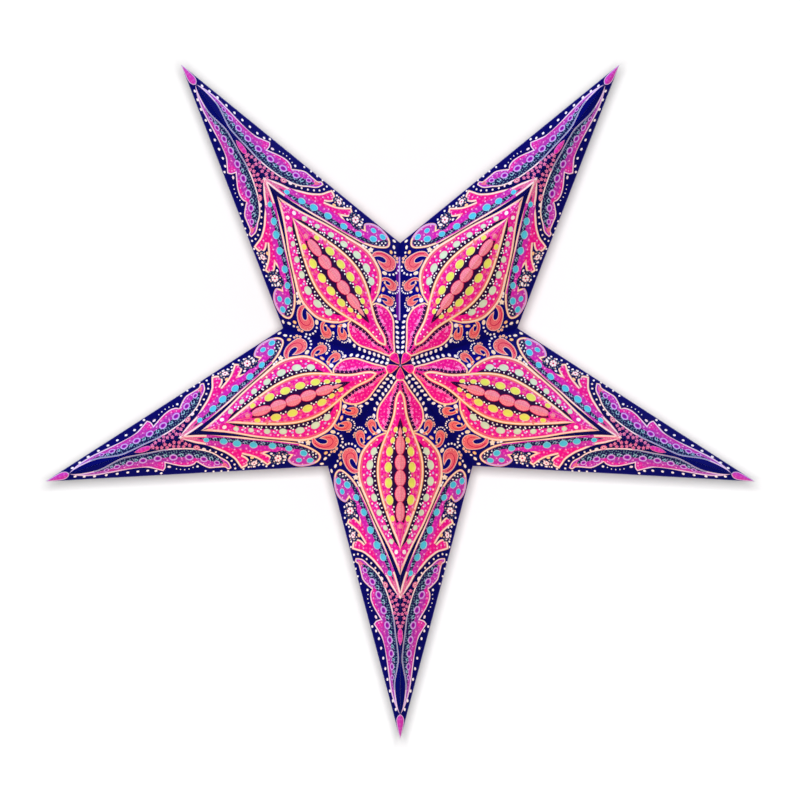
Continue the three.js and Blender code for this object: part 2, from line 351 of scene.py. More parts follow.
def inkColour(name, place):
    ramp = inkRamps[name]
    along, aside = place
    tone = ramp[-1][1]
    for (start, first), (end, second) in zip(ramp, ramp[1:]):
        if along <= end:
            tone = first.lerp(second, max(0, (along - start) / (end - start)))
            break
    if name in edgeTones:
        share = aside / max(1, edgeAt(along))
        blend = (share - edgeBlend["start"]) / (edgeBlend["end"] - edgeBlend["start"])
        blend = max(0, min(1, blend))
        tone = tone.lerp(edgeTones[name], blend * blend * (3 - 2 * blend))
    return (*tone, 1)


# Drawing tools for the print. Every outline is a list of places in mm, seen from the front.
drawing = {
    "onRidge": 0.01,  # a place this near to the ridge isn't mirrored
    "sharpestTurn": 0.3,  # below it, a corner of an outline that is drawn further in is left out
    "inwardsClearance": 0.93,
    "curlStops": 7,
    "curlTightens": 0.45,
    "curlTapers": 0.6,
    "beadSides": 10,
    "windowSides": 16,
    "windowSideRim": 0.8,  # a window's rim beside it, as a share of the rim at its ends
}
dropShape = [(0, 0), (0.35, 0.6), (0.7, 1), (0.93, 0.6), (1, 0), (0.93, -0.6), (0.7, -1), (0.35, -0.6)]


def curveThrough(stops, steps=2, closed=False):
    places = [Vector(stop) for stop in stops]
    last = len(places) - 1

    def stopAt(i):
        return places[i % len(places)] if closed else places[max(0, min(last, i))]

    line = []
    for i in range(len(places) if closed else last):
        start, end = stopAt(i), stopAt(i + 1)
        leaving = start + (end - stopAt(i - 1)) / 6
        arriving = end - (stopAt(i + 2) - start) / 6
        line += interpolate_bezier(start, leaving, arriving, end, steps + 1)[:-1]
    return line if closed else line + [places[-1]]


# Smooth lines that meet in corners
def cornered(*lines, steps=3):
    outline = []
    for stops in lines:
        outline += curveThrough(stops, steps)[:-1]
    return outline


def bothSides(line):
    return list(line) + [Vector((p.x, -p.y)) for p in reversed(line) if abs(p.y) > drawing["onRidge"]]


def area(outline):
    return sum(outline[i - 1].cross(p) for i, p in enumerate(outline)) / 2


def counterClockwise(outline):
    return outline if area(outline) > 0 else outline[::-1]


# An outline drawn again further in. Places that would come too near to another side are left out.
def drawnIn(outline, inset):
    outline = counterClockwise(outline)
    edges = [(outline[i - 1], p) for i, p in enumerate(outline)]
    moved = []
    for i, place in enumerate(outline):
        behind = (place - outline[i - 1]).normalized()
        ahead = (outline[(i + 1) % len(outline)] - place).normalized()
        along = behind + ahead
        if along.length < drawing["sharpestTurn"]:
            continue
        inwards = Vector((-along.y, along.x)).normalized()
        spot = place + inwards * inset * 2 / along.length
        nearest = min(distanceToEdge(spot, *edge) for edge in edges)
        if nearest > inset * drawing["inwardsClearance"]:
            moved.append(spot)
    return moved


def distanceToEdge(spot, start, end):
    foot, share = intersect_point_line(spot, start, end)
    if share <= 0:
        return (spot - start).length
    if share >= 1:
        return (spot - end).length
    return (spot - foot.to_2d()).length


def oval(centre, length, width, turn=0, sides=8):
    lean = Matrix.Rotation(math.radians(turn), 2)
    centre = Vector(centre)
    return [
        centre + lean @ Vector((
            length / 2 * math.cos(2 * math.pi * (i + 0.5) / sides),
            width / 2 * math.sin(2 * math.pi * (i + 0.5) / sides)))
        for i in range(sides)
    ]


# A leaf-like drop, pointed at its start
def drop(start, end, width):
    start, end = Vector(start), Vector(end)
    along = end - start
    aside = Vector((-along.y, along.x)).normalized() * width / 2
    return [start + along * share + aside * wide for share, wide in dropShape]


# A flower of five lobes, drawn in to a share of its radius between them
def floret(centre, radius, lobes=5, waist=0.62):
    turns = [math.pi * i / lobes for i in range(lobes * 2)]
    return [
        Vector(centre) + Vector((math.cos(turn) * radius, math.sin(turn) * radius)) * (1 if i % 2 else waist)
        for i, turn in enumerate(turns)
    ]


# A pen line as a row of four-sided strips
def penLine(line, width, endWidth=None):
    endWidth = width if endWidth is None else endWidth
    sides = []
    for i, place in enumerate(line):
        ahead = line[min(i + 1, len(line) - 1)] - line[max(i - 1, 0)]
        across = Vector((-ahead.y, ahead.x)).normalized()
        wide = width + (endWidth - width) * i / max(1, len(line) - 1)
        sides.append((place + across * wide / 2, place - across * wide / 2))
    return [[a[0], a[1], b[1], b[0]] for a, b in zip(sides, sides[1:])]


# Places at even steps beside a line, on its left when the offset is above zero
def beside(line, spacing, offset):
    places, carried = [], spacing / 2
    for start, end in zip(line, line[1:]):
        reach = (end - start).length
        step = (end - start).normalized()
        while carried <= reach:
            places.append(start + step * carried + Vector((-step.y, step.x)) * offset)
            carried += spacing
        carried -= reach
    return places


# The gaps in a row of beads: the bead before, the middle, and the step to the next bead
def gapsIn(row):
    centres = [Vector(bead[0]) for bead in row]
    return [(first, (first + second) / 2, second - first) for first, second in zip(centres, centres[1:])]


def rightOf(step):
    return Vector((step.y, -step.x)).normalized()


def leanOf(step):
    return math.degrees(math.atan2(step.y, step.x))


# The print as it lies on the panel: it runs out to the edges, and a little nearer to the centre
printPlace = {"spread": 1.045, "inwards": 3.9, "lean": 0.062, "fromCentre": 10, "tipReach": 45}


def placedOnPanel(place):
    along, aside = place
    fromTip = min(1, (star["tipRadius"] - along) / printPlace["tipReach"])
    inwards = printPlace["inwards"] * (along / (along + printPlace["fromCentre"]) * fromTip)
    return Vector((along - inwards + printPlace["lean"] * aside, aside * printPlace["spread"]))


printLayers = []


def paint(ink, *outlines):
    printLayers.extend((ink, [placedOnPanel(p) for p in outline]) for outline in outlines)


def paintRims(outline, rims, ink):
    reach = 0
    for rimInk, width in rims:
        paint(rimInk, drawnIn(outline, reach) if reach else outline)
        reach += width
    paint(ink, drawnIn(outline, reach))


def paintDots(ink, places, size, stretch=1, sides=6):
    for place in places:
        paint(ink, oval(place, size * stretch, size, sides=sides))


# Ovals are written as centre, length, width and turn
def paintOvals(ink, ovals, sides=8):
    for placed in ovals:
        paint(ink, oval(*placed, sides))


# Ovals with a smaller one on each, at shares of its length and width
def paintRimmed(rimInk, ink, ovals, share, sideShare, sides=8, innerSides=6):
    for centre, length, width, turn in ovals:
        paint(rimInk, oval(centre, length, width, turn, sides))
        paint(ink, oval(centre, length * share, width * sideShare, turn, innerSides))


def paintBeads(rimInk, ink, beads, shares):
    paintRimmed(rimInk, ink, beads, *shares, drawing["beadSides"], drawing["beadSides"])


# Punched windows, each inside a printed rim
def paintWindows(rimInk, windows, rim):
    sides, sideRim = drawing["windowSides"], rim * drawing["windowSideRim"]
    for centre, length, width, turn in windows:
        paint(rimInk, oval(centre, length + rim, width + sideRim, turn, sides))
        paint("window", oval(centre, length, width, turn, sides))


def paintLines(ink, lines, width, endWidth=None, steps=2):
    for line in lines:
        paint(ink, *penLine(curveThrough(line, steps), width, endWidth))


# A pen line that keeps its distance from a curve
def paintBeside(ink, stops, spacing, offset, width):
    paint(ink, *penLine(beside(curveThrough(stops), spacing, offset), width))


def paintCurl(ink, centre, radius, width, start, sweep):
    centre, last = Vector(centre), drawing["curlStops"] - 1
    line = []
    for i in range(drawing["curlStops"]):
        turn = math.radians(start + sweep * i / last)
        reach = radius * (1 - drawing["curlTightens"] * i / last)
        line.append(centre + Vector((math.cos(turn), math.sin(turn))) * reach)
    paint(ink, *penLine(line, width, width * drawing["curlTapers"]))


# Print: the drop and lobes about the star's centre
heartPrint = {
    "drop": [(1.7, 0), (4.2, 1.3), (8.2, 2.9), (11.2, 3.7), (13.3, 2.6), (14.2, 0)],
    "dropRims": [("peach", 0.4)],
    "lobe": [(13.3, 2.8), (16.5, 5), (22, 8.2), (28.9, 13), (35.6, 17.4), (42.2, 19), (47.4, 18.8),
             (52.6, 17), (56.8, 14.2)],
    "lobeBack": [(58, 11), (50, -3), (13.8, -3)],
    "rims": [("peach", 0.35), ("cream", 0.75), ("peach", 0.35)],
    "petalSide": [(16.5, 1.2), (24.1, 2.6), (27.6, 4.6), (33, 6.2), (38.6, 6.6), (44.1, 7.5), (49.7, 9.3),
                  (56, 12)],
    "petalSideWidth": (1.4, 3.4),
    "scallops": {"spacing": 3.5, "offset": 1.7, "length": 2.8, "width": 1.9, "turn": 15, "inner": 0.6},
    "scallopDots": {"spacing": 3.5, "offset": -0.1, "size": 0.9},
    "darkSpots": [((36.9, 7.2), 3.6, 2.4, 0), ((42.6, 8.2), 3, 1.6, 20), ((48, 9.4), 6.4, 2.6, 12),
                  ((54.6, 12.2), 3.4, 1.8, 28)],
    "swirls": {
        "lines": [[(37.6, 10.4), (39.4, 9.2), (41.6, 8.9), (43.8, 9.4), (45, 10.6)],
                  [(46.4, 12.6), (48.2, 14), (50.4, 13.6), (51, 12.2), (49.6, 11.6)],
                  [(27.8, 7.6), (29.8, 8), (31.8, 7.2), (32.2, 6.4)]],
        "width": 0.9, "endWidth": 0.6,
    },
    "blots": [((49.2, 13.2), 2.6, 1.7, 20), ((30, 7), 3, 1.4, 0), ((41.4, 9.9), 3, 1.2, 8)],
    "streaks": {
        "lines": [[(17.6, 3), (20.8, 4), (24.4, 4.9)], [(18.6, 4.6), (22, 5.7), (26, 6.2)]],
        "width": 0.9, "endWidth": 0.5,
    },
    "lobeDots": [(38.4, 15.4), (44.6, 14.6), (34, 11.6), (40.4, 12.6), (30.4, 11), (46, 16.4), (51.4, 15.2)],
    "lobeDotSize": 1,
    "cornerDrop": ((56.8, 17.2), 3.9, 3.6, 20),
    "scuff": 3,
    "beadRow": [(11.7, 5.1), (15.6, 7), (19.2, 9.2), (22.3, 11.4), (25.6, 13.7), (29.3, 16), (33.2, 18.3),
                (37.9, 20.2), (43.3, 20.9)],
    "bead": {"length": 3.5, "width": 2.2, "turn": -8, "turnStep": -2},
}


def paintHeart():
    heart = heartPrint
    lobe = curveThrough(heart["lobe"], steps=3) + [Vector(p) for p in heart["lobeBack"]]
    paintRims(lobe, heart["rims"], "pink")
    paintLines("coral", **heart["streaks"])
    petalSide = curveThrough(heart["petalSide"])
    paint("night", *penLine(petalSide, *heart["petalSideWidth"]))
    paintOvals("night", heart["darkSpots"])
    scallop, speck, bead = heart["scallops"], heart["scallopDots"], heart["bead"]
    places = beside(petalSide, scallop["spacing"], scallop["offset"])
    scallops = [(place, scallop["length"], scallop["width"], scallop["turn"]) for place in places]
    paintRimmed("blush", "pink", scallops, scallop["inner"], scallop["inner"], innerSides=8)
    paintDots("blush", beside(petalSide, speck["spacing"], speck["offset"]), speck["size"])
    paintOvals("blush", heart["blots"])
    paintLines("blush", **heart["swirls"])
    paintDots("blush", heart["lobeDots"], heart["lobeDotSize"])
    paintRims(bothSides(curveThrough(heart["drop"], steps=3)), heart["dropRims"], "pink")
    paintOvals("white", [heart["cornerDrop"]], sides=9)
    paint("scuffed", oval((0, 0), heart["scuff"], heart["scuff"]))
    for i, place in enumerate(heart["beadRow"]):
        paint("white", oval(place, bead["length"], bead["width"], bead["turn"] + bead["turnStep"] * i))


# Print: the petal on the ridge, with its spine and yellow beads
petalPrint = {
    "profile": [(22.8, 0), (25.6, 2.4), (29.5, 3.9), (36.5, 4.9), (43.3, 5.9), (50, 7.9), (56.3, 10.3),
                (62.8, 13), (69.3, 15.4), (75.8, 17.3), (82.3, 18.5), (88.8, 18.9), (95.3, 18.7),
                (101.8, 17.9), (108.3, 16.6), (114.8, 15), (121.3, 13), (127.8, 10.9), (134.3, 8.6),
                (140.8, 6.3), (147.3, 3.8), (157, 0)],
    "rims": [("peach", 0.55), ("cream", 0.9), ("peach", 0.6)],
    "glowStops": (7, 18),  # coral shading inside the rim, along these stops of the profile
    "glow": {"spacing": 2.2, "offset": -2.5, "width": 1.1},
    "core": [(46.5, 0), (50, 1.1), (54, 2.1), (58, 3.4), (64, 5.6), (70, 7), (80, 7.8), (92, 8.4), (104, 8.2),
             (114, 7.2), (124, 5.6), (134, 3), (146, 0)],
    "coreRim": 0.55,
    "spine": [(61.4, 77.4, 6.8), (77, 90.6, 8), (90.1, 103.8, 8.3), (103.3, 117.1, 8), (116.5, 133.8, 6.6)],
    "spineRim": (1, 1.1),
    "spineSides": 14,
    "spineDrop": ((53.5, 0), (61.8, 0), 3.4),
    "spineTip": [(133, 0), (136, 4.1), (142, 3), (149, 1.4), (155.4, 0)],
    "spineKnot": ((137.4, 0), 4.6, 3.4, 0),
    "spineStreaks": {
        "lines": [[(136, 2.3), (142, 1.7), (149, 0.8)], [(128, 5.2), (136, 4.9), (143.6, 3.3)]],
        "width": 0.8, "endWidth": 0.4,
    },
    "firstBeads": [((56.1, 3.6), 5, 3.4, 16), ((64.9, 6), 5.6, 3.8, 14)],
    "windows": [((74.3, 8.5), 7.2, 4.7, 6), ((87.4, 9.6), 8, 5, 2), ((100.6, 9.4), 8, 5.1, -3),
                ((115, 8.5), 8, 5, -9)],
    "lastBead": ((130.7, 6.2), 5.6, 3.6, -14),
    "beadShares": (0.76, 0.72),
    "beadRim": 1.1,
    # Between two beads: ink, place from the middle, length, width and sides
    "filling": [("coral", (0, 1.5), 3.4, 2.2, 7), ("coral", (0.6, 3.7), 2.2, 1.3, 6),
                ("white", (0.4, -1.1), 1.6, 1.4, 6), ("white", (-2, -2.2), 1.6, 1.4, 6),
                ("white", (2.2, -2.4), 1.6, 1.4, 6)],
    "throatDots": {"places": [(43, 2.4), (47.4, 4.2), (51.2, 5.6)], "size": 1.3},
    "throatBeads": {"places": [(34, 1.7), (38.5, 1.9)], "size": 1.5},
    "edgeDots": {
        "places": [(56, 7.2), (62, 9.9), (68.5, 12.1), (75.1, 13.6), (82, 14.3), (88.6, 14.6), (95.2, 14.4),
                   (101.6, 13.8), (108.2, 12.9), (114.6, 11.9), (121, 9.9), (127.4, 8.3), (135.4, 5.6),
                   (141, 3.6)],
        "size": 1.8, "stretch": 1.25, "sides": 7,
    },
}


def paintPetal():
    petal = petalPrint
    paintRims(bothSides(curveThrough(petal["profile"])), petal["rims"], "pink")
    paintBeside("coral", petal["profile"][slice(*petal["glowStops"])], **petal["glow"])
    core, coreRim = [Vector(p) for p in petal["core"]], petal["coreRim"]
    rimmed = [core[0], *(Vector((along, aside + coreRim)) for along, aside in petal["core"][1:-1]), core[-1]]
    paint("coralDeep", bothSides(rimmed))
    paint("night", bothSides(core))
    paintDots("blush", **petal["throatDots"])
    paintDots("white", **petal["throatBeads"])
    paintDots("blush", **petal["edgeDots"])
    for _, between, _ in gapsIn([*petal["firstBeads"], *petal["windows"], petal["lastBead"]]):
        for ink, away, length, width, sides in petal["filling"]:
            paint(ink, oval(between + Vector(away), length, width, sides=sides))
    endRim, sideRim = petal["spineRim"]
    for start, end, width in petal["spine"]:
        start, end = Vector((start, 0)), Vector((end, 0))
        middle, reach = (start + end) / 2, (end - start).length
        paint("coralDeep", oval(middle, reach + endRim, width + sideRim, sides=petal["spineSides"]))
        paint("rose", oval(middle, reach, width, sides=petal["spineSides"]))
    paint("pink", bothSides(curveThrough(petal["spineTip"])))
    paintLines("coral", **petal["spineStreaks"])
    paintOvals("rose", [petal["spineKnot"]], sides=9)
    paint("rose", drop(*petal["spineDrop"]))
    paintBeads("straw", "yellow", [*petal["firstBeads"], petal["lastBead"]], petal["beadShares"])
    paintWindows("straw", petal["windows"], petal["beadRim"])


# Print: the wide petal behind it, dark beside the inner petal and pink outside, with green beads
collarPrint = {
    "profile": [(57.9, 12), (58.7, 14.6), (60.6, 19.2), (63.4, 23.2), (66.4, 26.2), (70.6, 29.6),
                (75.6, 32.2), (82, 33.6), (89, 34.3), (95.5, 33.9), (102, 32.4), (108.6, 29.9),
                (118.5, 25.9), (128.3, 22), (138, 17.8), (147.8, 12.9), (160.8, 6.9), (178.9, 0)],
    "start": [(57.9, 12), (56, 6), (56, 0)],
    "rims": [("peach", 0.45), ("cream", 0.7), ("peach", 0.4)],
    "shoulderStops": (2, 13),  # the rim is broader over these stops of the profile
    "shoulder": [("coral", {"spacing": 2.2, "offset": -2.6, "width": 1.5}),
                 ("cream", {"spacing": 2.2, "offset": -1.5, "width": 0.6})],
    "bandStart": (62, 8),
    "beadLine": [(64, 13), (67.6, 16.8), (72.9, 20), (84.2, 22.6), (98.2, 22.9), (112.5, 19.6), (124.8, 15.4),
                 (137.8, 10.2), (145.4, 6.9), (151, 4.2), (156, 0)],
    "windows": [((73.5, 21.1), 6.2, 4.2, 20), ((84.8, 24.3), 7.4, 4.7, 8), ((98.5, 24.3), 7.2, 4.6, -8),
                ((112.5, 20.9), 6, 4, -18), ((125.4, 16.9), 4.8, 3.5, -20)],
    "beadRim": 0.9,
    "beads": [((138.2, 12), 5, 3.6, -22), ((150, 7.3), 5, 3.4, -22)],
    "beadShares": (0.78, 0.76),
    # Between two beads: how far along from the middle and how deep below it
    "filling": [(-1.5, 0.8), (1.3, 0.2), (0.2, 2.4)],
    "fillingSize": (1.6, 1.4),
    "innerStops": (8, 20),  # of the inner petal's profile, which a row of dots follows
    "innerDots": {"spacing": 3.9, "offset": 1.7, "size": 1.45},
    "creamDots": {
        "places": [(63.9, 18.4), (68, 23.2), (73.5, 26.4), (79.4, 28.2), (86.2, 29.2), (93, 29.2),
                   (99.4, 28.2), (105.4, 26.4), (111.4, 24.7), (117.4, 22.5)],
        "size": 1.5, "stretch": 1.2, "sides": 7,
    },
    "blushDots": {
        "places": [(123.5, 20.4), (130.7, 17.2), (136.6, 14.8), (143.4, 11.6), (150, 9.6), (156.4, 6.6),
                   (164.4, 3.2), (169.4, 1.4)],
        "size": 1.6, "stretch": 1.2, "sides": 7,
    },
    "edgeOvals": {
        "places": [(76.4, 24.9), (91.4, 26.4), (105.2, 24), (119.2, 19.9), (132.2, 14.9), (144.4, 9.8)],
        "size": 1.7, "stretch": 1.5, "sides": 7,
    },
    "starDot": ((159, 3.2), 4, 3, 0),
    "tip": [(150, 5), (152, 8.2), (160.8, 5), (168, 2.3), (173.6, 0)],
    "tipDots": {"places": [(163.6, 1.6), (167.4, 0.9), (162.8, 0)], "size": 1.3, "stretch": 1.3},
}


def paintCollar():
    collar = collarPrint
    outline = bothSides(curveThrough(collar["profile"]) + curveThrough(collar["start"])[1:])
    paintRims(outline, collar["rims"], "pink")
    for ink, line in collar["shoulder"]:
        paintBeside(ink, collar["profile"][slice(*collar["shoulderStops"])], **line)
    paint("pink", bothSides([Vector(p) for p in collar["tip"]]))
    paint("night", bothSides([Vector(collar["bandStart"]), *curveThrough(collar["beadLine"])]))
    paintDots("cream", **collar["creamDots"])
    paintDots("blush", **collar["blushDots"])
    paintDots("lilac", **collar["edgeOvals"])
    inner = collar["innerDots"]
    petalEdge = curveThrough(petalPrint["profile"][slice(*collar["innerStops"])])
    paintDots("white", beside(petalEdge, inner["spacing"], inner["offset"]), inner["size"])
    for _, between, step in gapsIn(collar["windows"] + collar["beads"]):
        for ahead, depth in collar["filling"]:
            spot = between + Vector((ahead, 0)) + rightOf(step) * depth
            paint("white", oval(spot, *collar["fillingSize"], sides=6))
    paintBeads("mist", "green", collar["beads"], collar["beadShares"])
    paintWindows("mist", collar["windows"], collar["beadRim"])
    paintOvals("white", [collar["starDot"]], sides=7)
    paintDots("blush", **collar["tipDots"])


# Print: the leaf with a round head by the notch and two hooks, with cyan beads
hookLeafPrint = {
    "outline": [
        [(192, 0), (184, 2), (175, 4.7), (160.8, 9.7), (147.8, 14.6), (138, 18.9), (128.3, 22.9),
         (118.5, 26.9), (108.7, 30.9), (102, 34.1), (95.7, 38.2), (90.6, 43), (87.6, 47), (87.6, 50.2),
         (91, 52.8), (96.5, 53.6), (102.8, 53.1), (107.8, 51.7), (111.8, 49.4), (114.6, 46.4),
         (115.4, 43.9), (113.6, 42), (112, 41)],
        [(112, 41), (116, 37.6), (120.2, 34.8), (125, 33.2), (132.4, 33.1)],
        [(132.4, 33.1), (129.2, 36), (128, 38.8), (129.2, 41.6), (133.4, 43.2)],
        [(133.4, 43.2), (136, 39.8), (139.6, 35.8), (143, 33.1), (146.8, 30.8), (152.8, 27.4)],
        [(152.8, 27.4), (149.2, 30.5), (147.2, 33.6), (147.8, 36.7), (150.6, 38.5), (155.2, 39)],
        [(155.4, 39), (156.8, 35.2), (158.4, 30.6), (161.4, 26.6), (165.4, 22.4), (171.4, 17.7), (178.6, 12),
         (187.1, 7.7), (199, 0)],
        [(199, 0), (196, -2), (192, 0)],
    ],
    "rims": [("peach", 0.4), ("cream", 0.8), ("peach", 0.4)],
    "beadLine": [(187, 3.9), (176.9, 8.4), (163.8, 13.9), (152.8, 18.7), (139.8, 24), (124.5, 29.6),
                 (111.5, 35.4), (104, 38.4), (99, 41)],
    "bandBack": [(99, 41), (95.4, 41), (103, 35.6), (118.5, 28.6), (138, 20.6), (160.8, 11.3), (187, 3.9)],
    "glowStops": (1, 8),  # deeper beside these stops of the row of beads
    "glowWidth": 8.6,
    "headRim": {
        "stops": [(93, 53.4), (96.5, 53.6), (102.8, 53.1), (107.8, 51.7), (111.8, 49.4), (114.6, 46.4),
                  (115.4, 43.9), (113.6, 42)],
        "spacing": 1.5, "offset": -0.8, "width": 1.1,
    },
    "headShade": [(89.2, 47.6), (92.2, 43.6), (96.4, 40.4), (98.6, 41.2), (96.8, 44.6), (95.4, 47.4),
                  (93.4, 50.8), (90.8, 50.9)],
    "windows": [((111.8, 35.4), 5.3, 3.9, -26), ((124.6, 29.4), 5.8, 4.2, -22), ((139.8, 24), 6.2, 4.4, -20),
                ((152.8, 18.8), 6.6, 4.7, -22), ((163.2, 13.9), 6, 4.2, -20)],
    "beadRim": 0.8,
    "headBeads": [((97.2, 49.8), 6.2, 4.4, -10), ((100.8, 42.6), 6.6, 5.2, -30),
                  ((106.3, 46.8), 5.4, 3.8, -14)],
    "lastBead": ((176.9, 8.4), 5.2, 3.9, -20),
    "beadShares": (0.8, 0.76),
    # Between two beads: depth below the middle or below the bead, and the size
    "curl": {"radius": 1.5, "width": 0.65, "start": 160, "sweep": 260},
    "curlDepth": 1.1,
    "lilacSpeck": {"depth": 2.4, "ahead": 1.8, "size": (1.1, 0.9)},
    "tealSpeck": {"depth": 3.1, "size": (1.2, 0.9)},
    "endDrop": ((197, 0.9), (183, 5.9), 2.2),
    "pinkDots": {
        "places": [(108.5, 42.2), (111.4, 46.6), (104.4, 50.8), (101.8, 46.6), (109, 38.4), (117.6, 34),
                   (129.9, 38.6), (132.2, 36), (134.4, 32.2), (131.4, 39.9), (139, 30.2), (144, 27.6),
                   (149.9, 35.4), (152.6, 33), (152, 35.9), (155, 29.6), (151.4, 24), (158.6, 24.4),
                   (160.4, 19.2), (165.4, 18.2), (170.8, 13.8), (146.4, 24.9), (156.2, 22.6), (177, 11.6)],
        "size": 1.4, "stretch": 1.2,
    },
    "headDots": {
        "places": [(91.7, 48.6), (93.4, 46.2), (92.9, 43.9), (96.4, 45.2), (96.2, 42.4), (90.9, 46.2)],
        "size": 1.4,
    },
}


def paintHookLeaf():
    leaf = hookLeafPrint
    paintRims(cornered(*leaf["outline"]), leaf["rims"], "magenta")
    paintBeside("lilac", **leaf["headRim"])
    glowLine = curveThrough(leaf["beadLine"][slice(*leaf["glowStops"])], steps=3)
    paint("fuchsia", *penLine(glowLine, leaf["glowWidth"]))
    paint("midnight", cornered(leaf["beadLine"], leaf["bandBack"]))
    paint("midnight", curveThrough(leaf["headShade"], closed=True))
    paint("rose", drop(*leaf["endDrop"]))
    paintDots("blush", **leaf["pinkDots"])
    paintDots("white", **leaf["headDots"])
    lilac, teal = leaf["lilacSpeck"], leaf["tealSpeck"]
    for bead, between, step in gapsIn([*leaf["windows"], leaf["lastBead"]]):
        deeper = rightOf(step)
        paintCurl("teal", between + deeper * leaf["curlDepth"], **leaf["curl"])
        spot = between + deeper * lilac["depth"] + Vector((lilac["ahead"], 0))
        paint("lilac", oval(spot, *lilac["size"], sides=6))
        paint("teal", oval(bead + deeper * teal["depth"], *teal["size"], sides=6))
    paintBeads("sky", "cyan", [*leaf["headBeads"], leaf["lastBead"]], leaf["beadShares"])
    paintWindows("sky", leaf["windows"], leaf["beadRim"])


# Print: the long scalloped leaf towards the tip, with a row of rings
ringLeafPrint = {
    "outer": [
        [(169.4, 25), (165.6, 28.6), (163.8, 31.6), (163.2, 36)],
        [(163.2, 36), (166.4, 36.3), (168.4, 33.9), (171.8, 32.9), (176.6, 31.8), (181.6, 30.5),
         (185.9, 27.2), (190.3, 22.6)],
        [(190.3, 22.6), (193, 24.1), (198, 24.1), (203.6, 22.3), (208.8, 19.7), (215.7, 15.8)],
        [(215.7, 15.8), (217, 19.4), (219.8, 21.4)],
        [(219.8, 21.4), (222.8, 19.6), (227, 17.2), (231.6, 14.8), (238, 13), (247.6, 11.4), (262.2, 9.7),
         (276.8, 7.6), (288.5, 3.9), (294.9, 0.3)],
    ],
    "inner": [(294.9, 0.3), (290.4, 1.8), (284.6, 3), (276, 4.1), (268, 3.9), (258.3, 2.2), (249.5, 1.1),
              (238.4, 2.1), (226.4, 3.6), (212, 5.2), (200, 8), (189, 11.6), (180, 15.8), (173.6, 20.2),
              (169.4, 25)],
    "rims": [("peach", 0.35), ("cream", 0.4), ("lilac", 0.35)],
    # Along stops of the inner side: a broader rim by the foot, and a cool line beyond it
    "innerRimStops": (9, 15),
    "innerRim": {"spacing": 2.2, "offset": -0.7, "width": 0.7},
    "coolRimStops": (3, 10),
    "coolRim": {"spacing": 0.4, "offset": -0.5, "width": 0.6},
    "hookTip": [(216.8, 15.8), (218, 19), (219.8, 20.3), (222.6, 18.6), (227, 16), (223, 13.6),
                (218.2, 13.8)],
    "scallopGlow": {
        "lines": [[(189.6, 20.6), (194.4, 21.9), (199.6, 21.6), (204.8, 19.8), (210, 17)]],
        "width": 2.6, "endWidth": 1.6, "steps": 3,
    },
    "tailGlow": {
        "lines": [[(222, 14.9), (230, 12.9), (240, 11), (252, 9.2), (266, 7.6)]],
        "width": 3.4, "endWidth": 1.2, "steps": 3,
    },
    "footGlow": [(165.2, 34.4), (166.4, 31.4), (168.6, 29.6), (169.6, 31.6), (172.4, 31), (169, 33)],
    "ringLine": [(167.6, 31.4), (173.7, 28.4), (183.4, 22.4), (194.9, 17.3), (207.8, 13.4), (220.9, 10.4),
                 (233.4, 8.2), (245.1, 7), (256.3, 6.4), (265.6, 6.2), (276, 5.4)],
    "shadeBack": [(276, 5.3), (268, 4.9), (258.3, 3.2), (249.5, 2.1), (238.8, 3), (226.4, 4.6), (212, 6.3),
                  (200, 9.1), (190, 12.4), (181.4, 16.3), (175.2, 20.3), (171, 25), (167.6, 31.4)],
    "rings": [((173.8, 28.4), 5.2, 3.8), ((183.6, 22.4), 6.6, 4.8), ((195, 17.3), 7.4, 5),
              ((208, 13.4), 7.4, 5), ((221, 10.4), 7.2, 4.7), ((233.5, 8.4), 7.2, 4.5),
              ((245.1, 7.2), 7, 4.2), ((256.3, 6.6), 6.2, 3.4), ((265.6, 6.5), 4.8, 2.5)],
    # Each ring is three ovals: ink, share of its length, share of its width, and sides
    "ringLayers": [("lilac", 1, 1, 12), ("violet", 0.7, 0.64, 10), ("purple", 0.5, 0.46, 8)],
    # Between two rings, smaller towards the tip
    "fading": {"from": 174, "share": 0.45, "over": 100},
    "curls": [
        {"depth": 1.7, "radius": 1.8, "width": 0.9, "start": 150, "sweep": 270},
        {"depth": 3.6, "radius": 1.1, "width": 0.7, "start": -30, "sweep": 220},
    ],
    "speck": {"depth": 3.1, "ahead": 1.8, "size": (1, 0.9)},
    "link": (1.1, 0.9),
    "dots": {
        "places": [(176.6, 29.6), (181, 28), (185, 26), (188.4, 22.6), (193.2, 21.4), (197.6, 21.6),
                   (203, 19.8), (208.4, 17.6), (201.4, 16.4), (213.6, 14), (219, 17.2), (226.4, 12.8),
                   (239, 10.2), (250.6, 9), (218.4, 15), (169.8, 31.4)],
        "size": 1.2, "stretch": 1.2,
    },
}


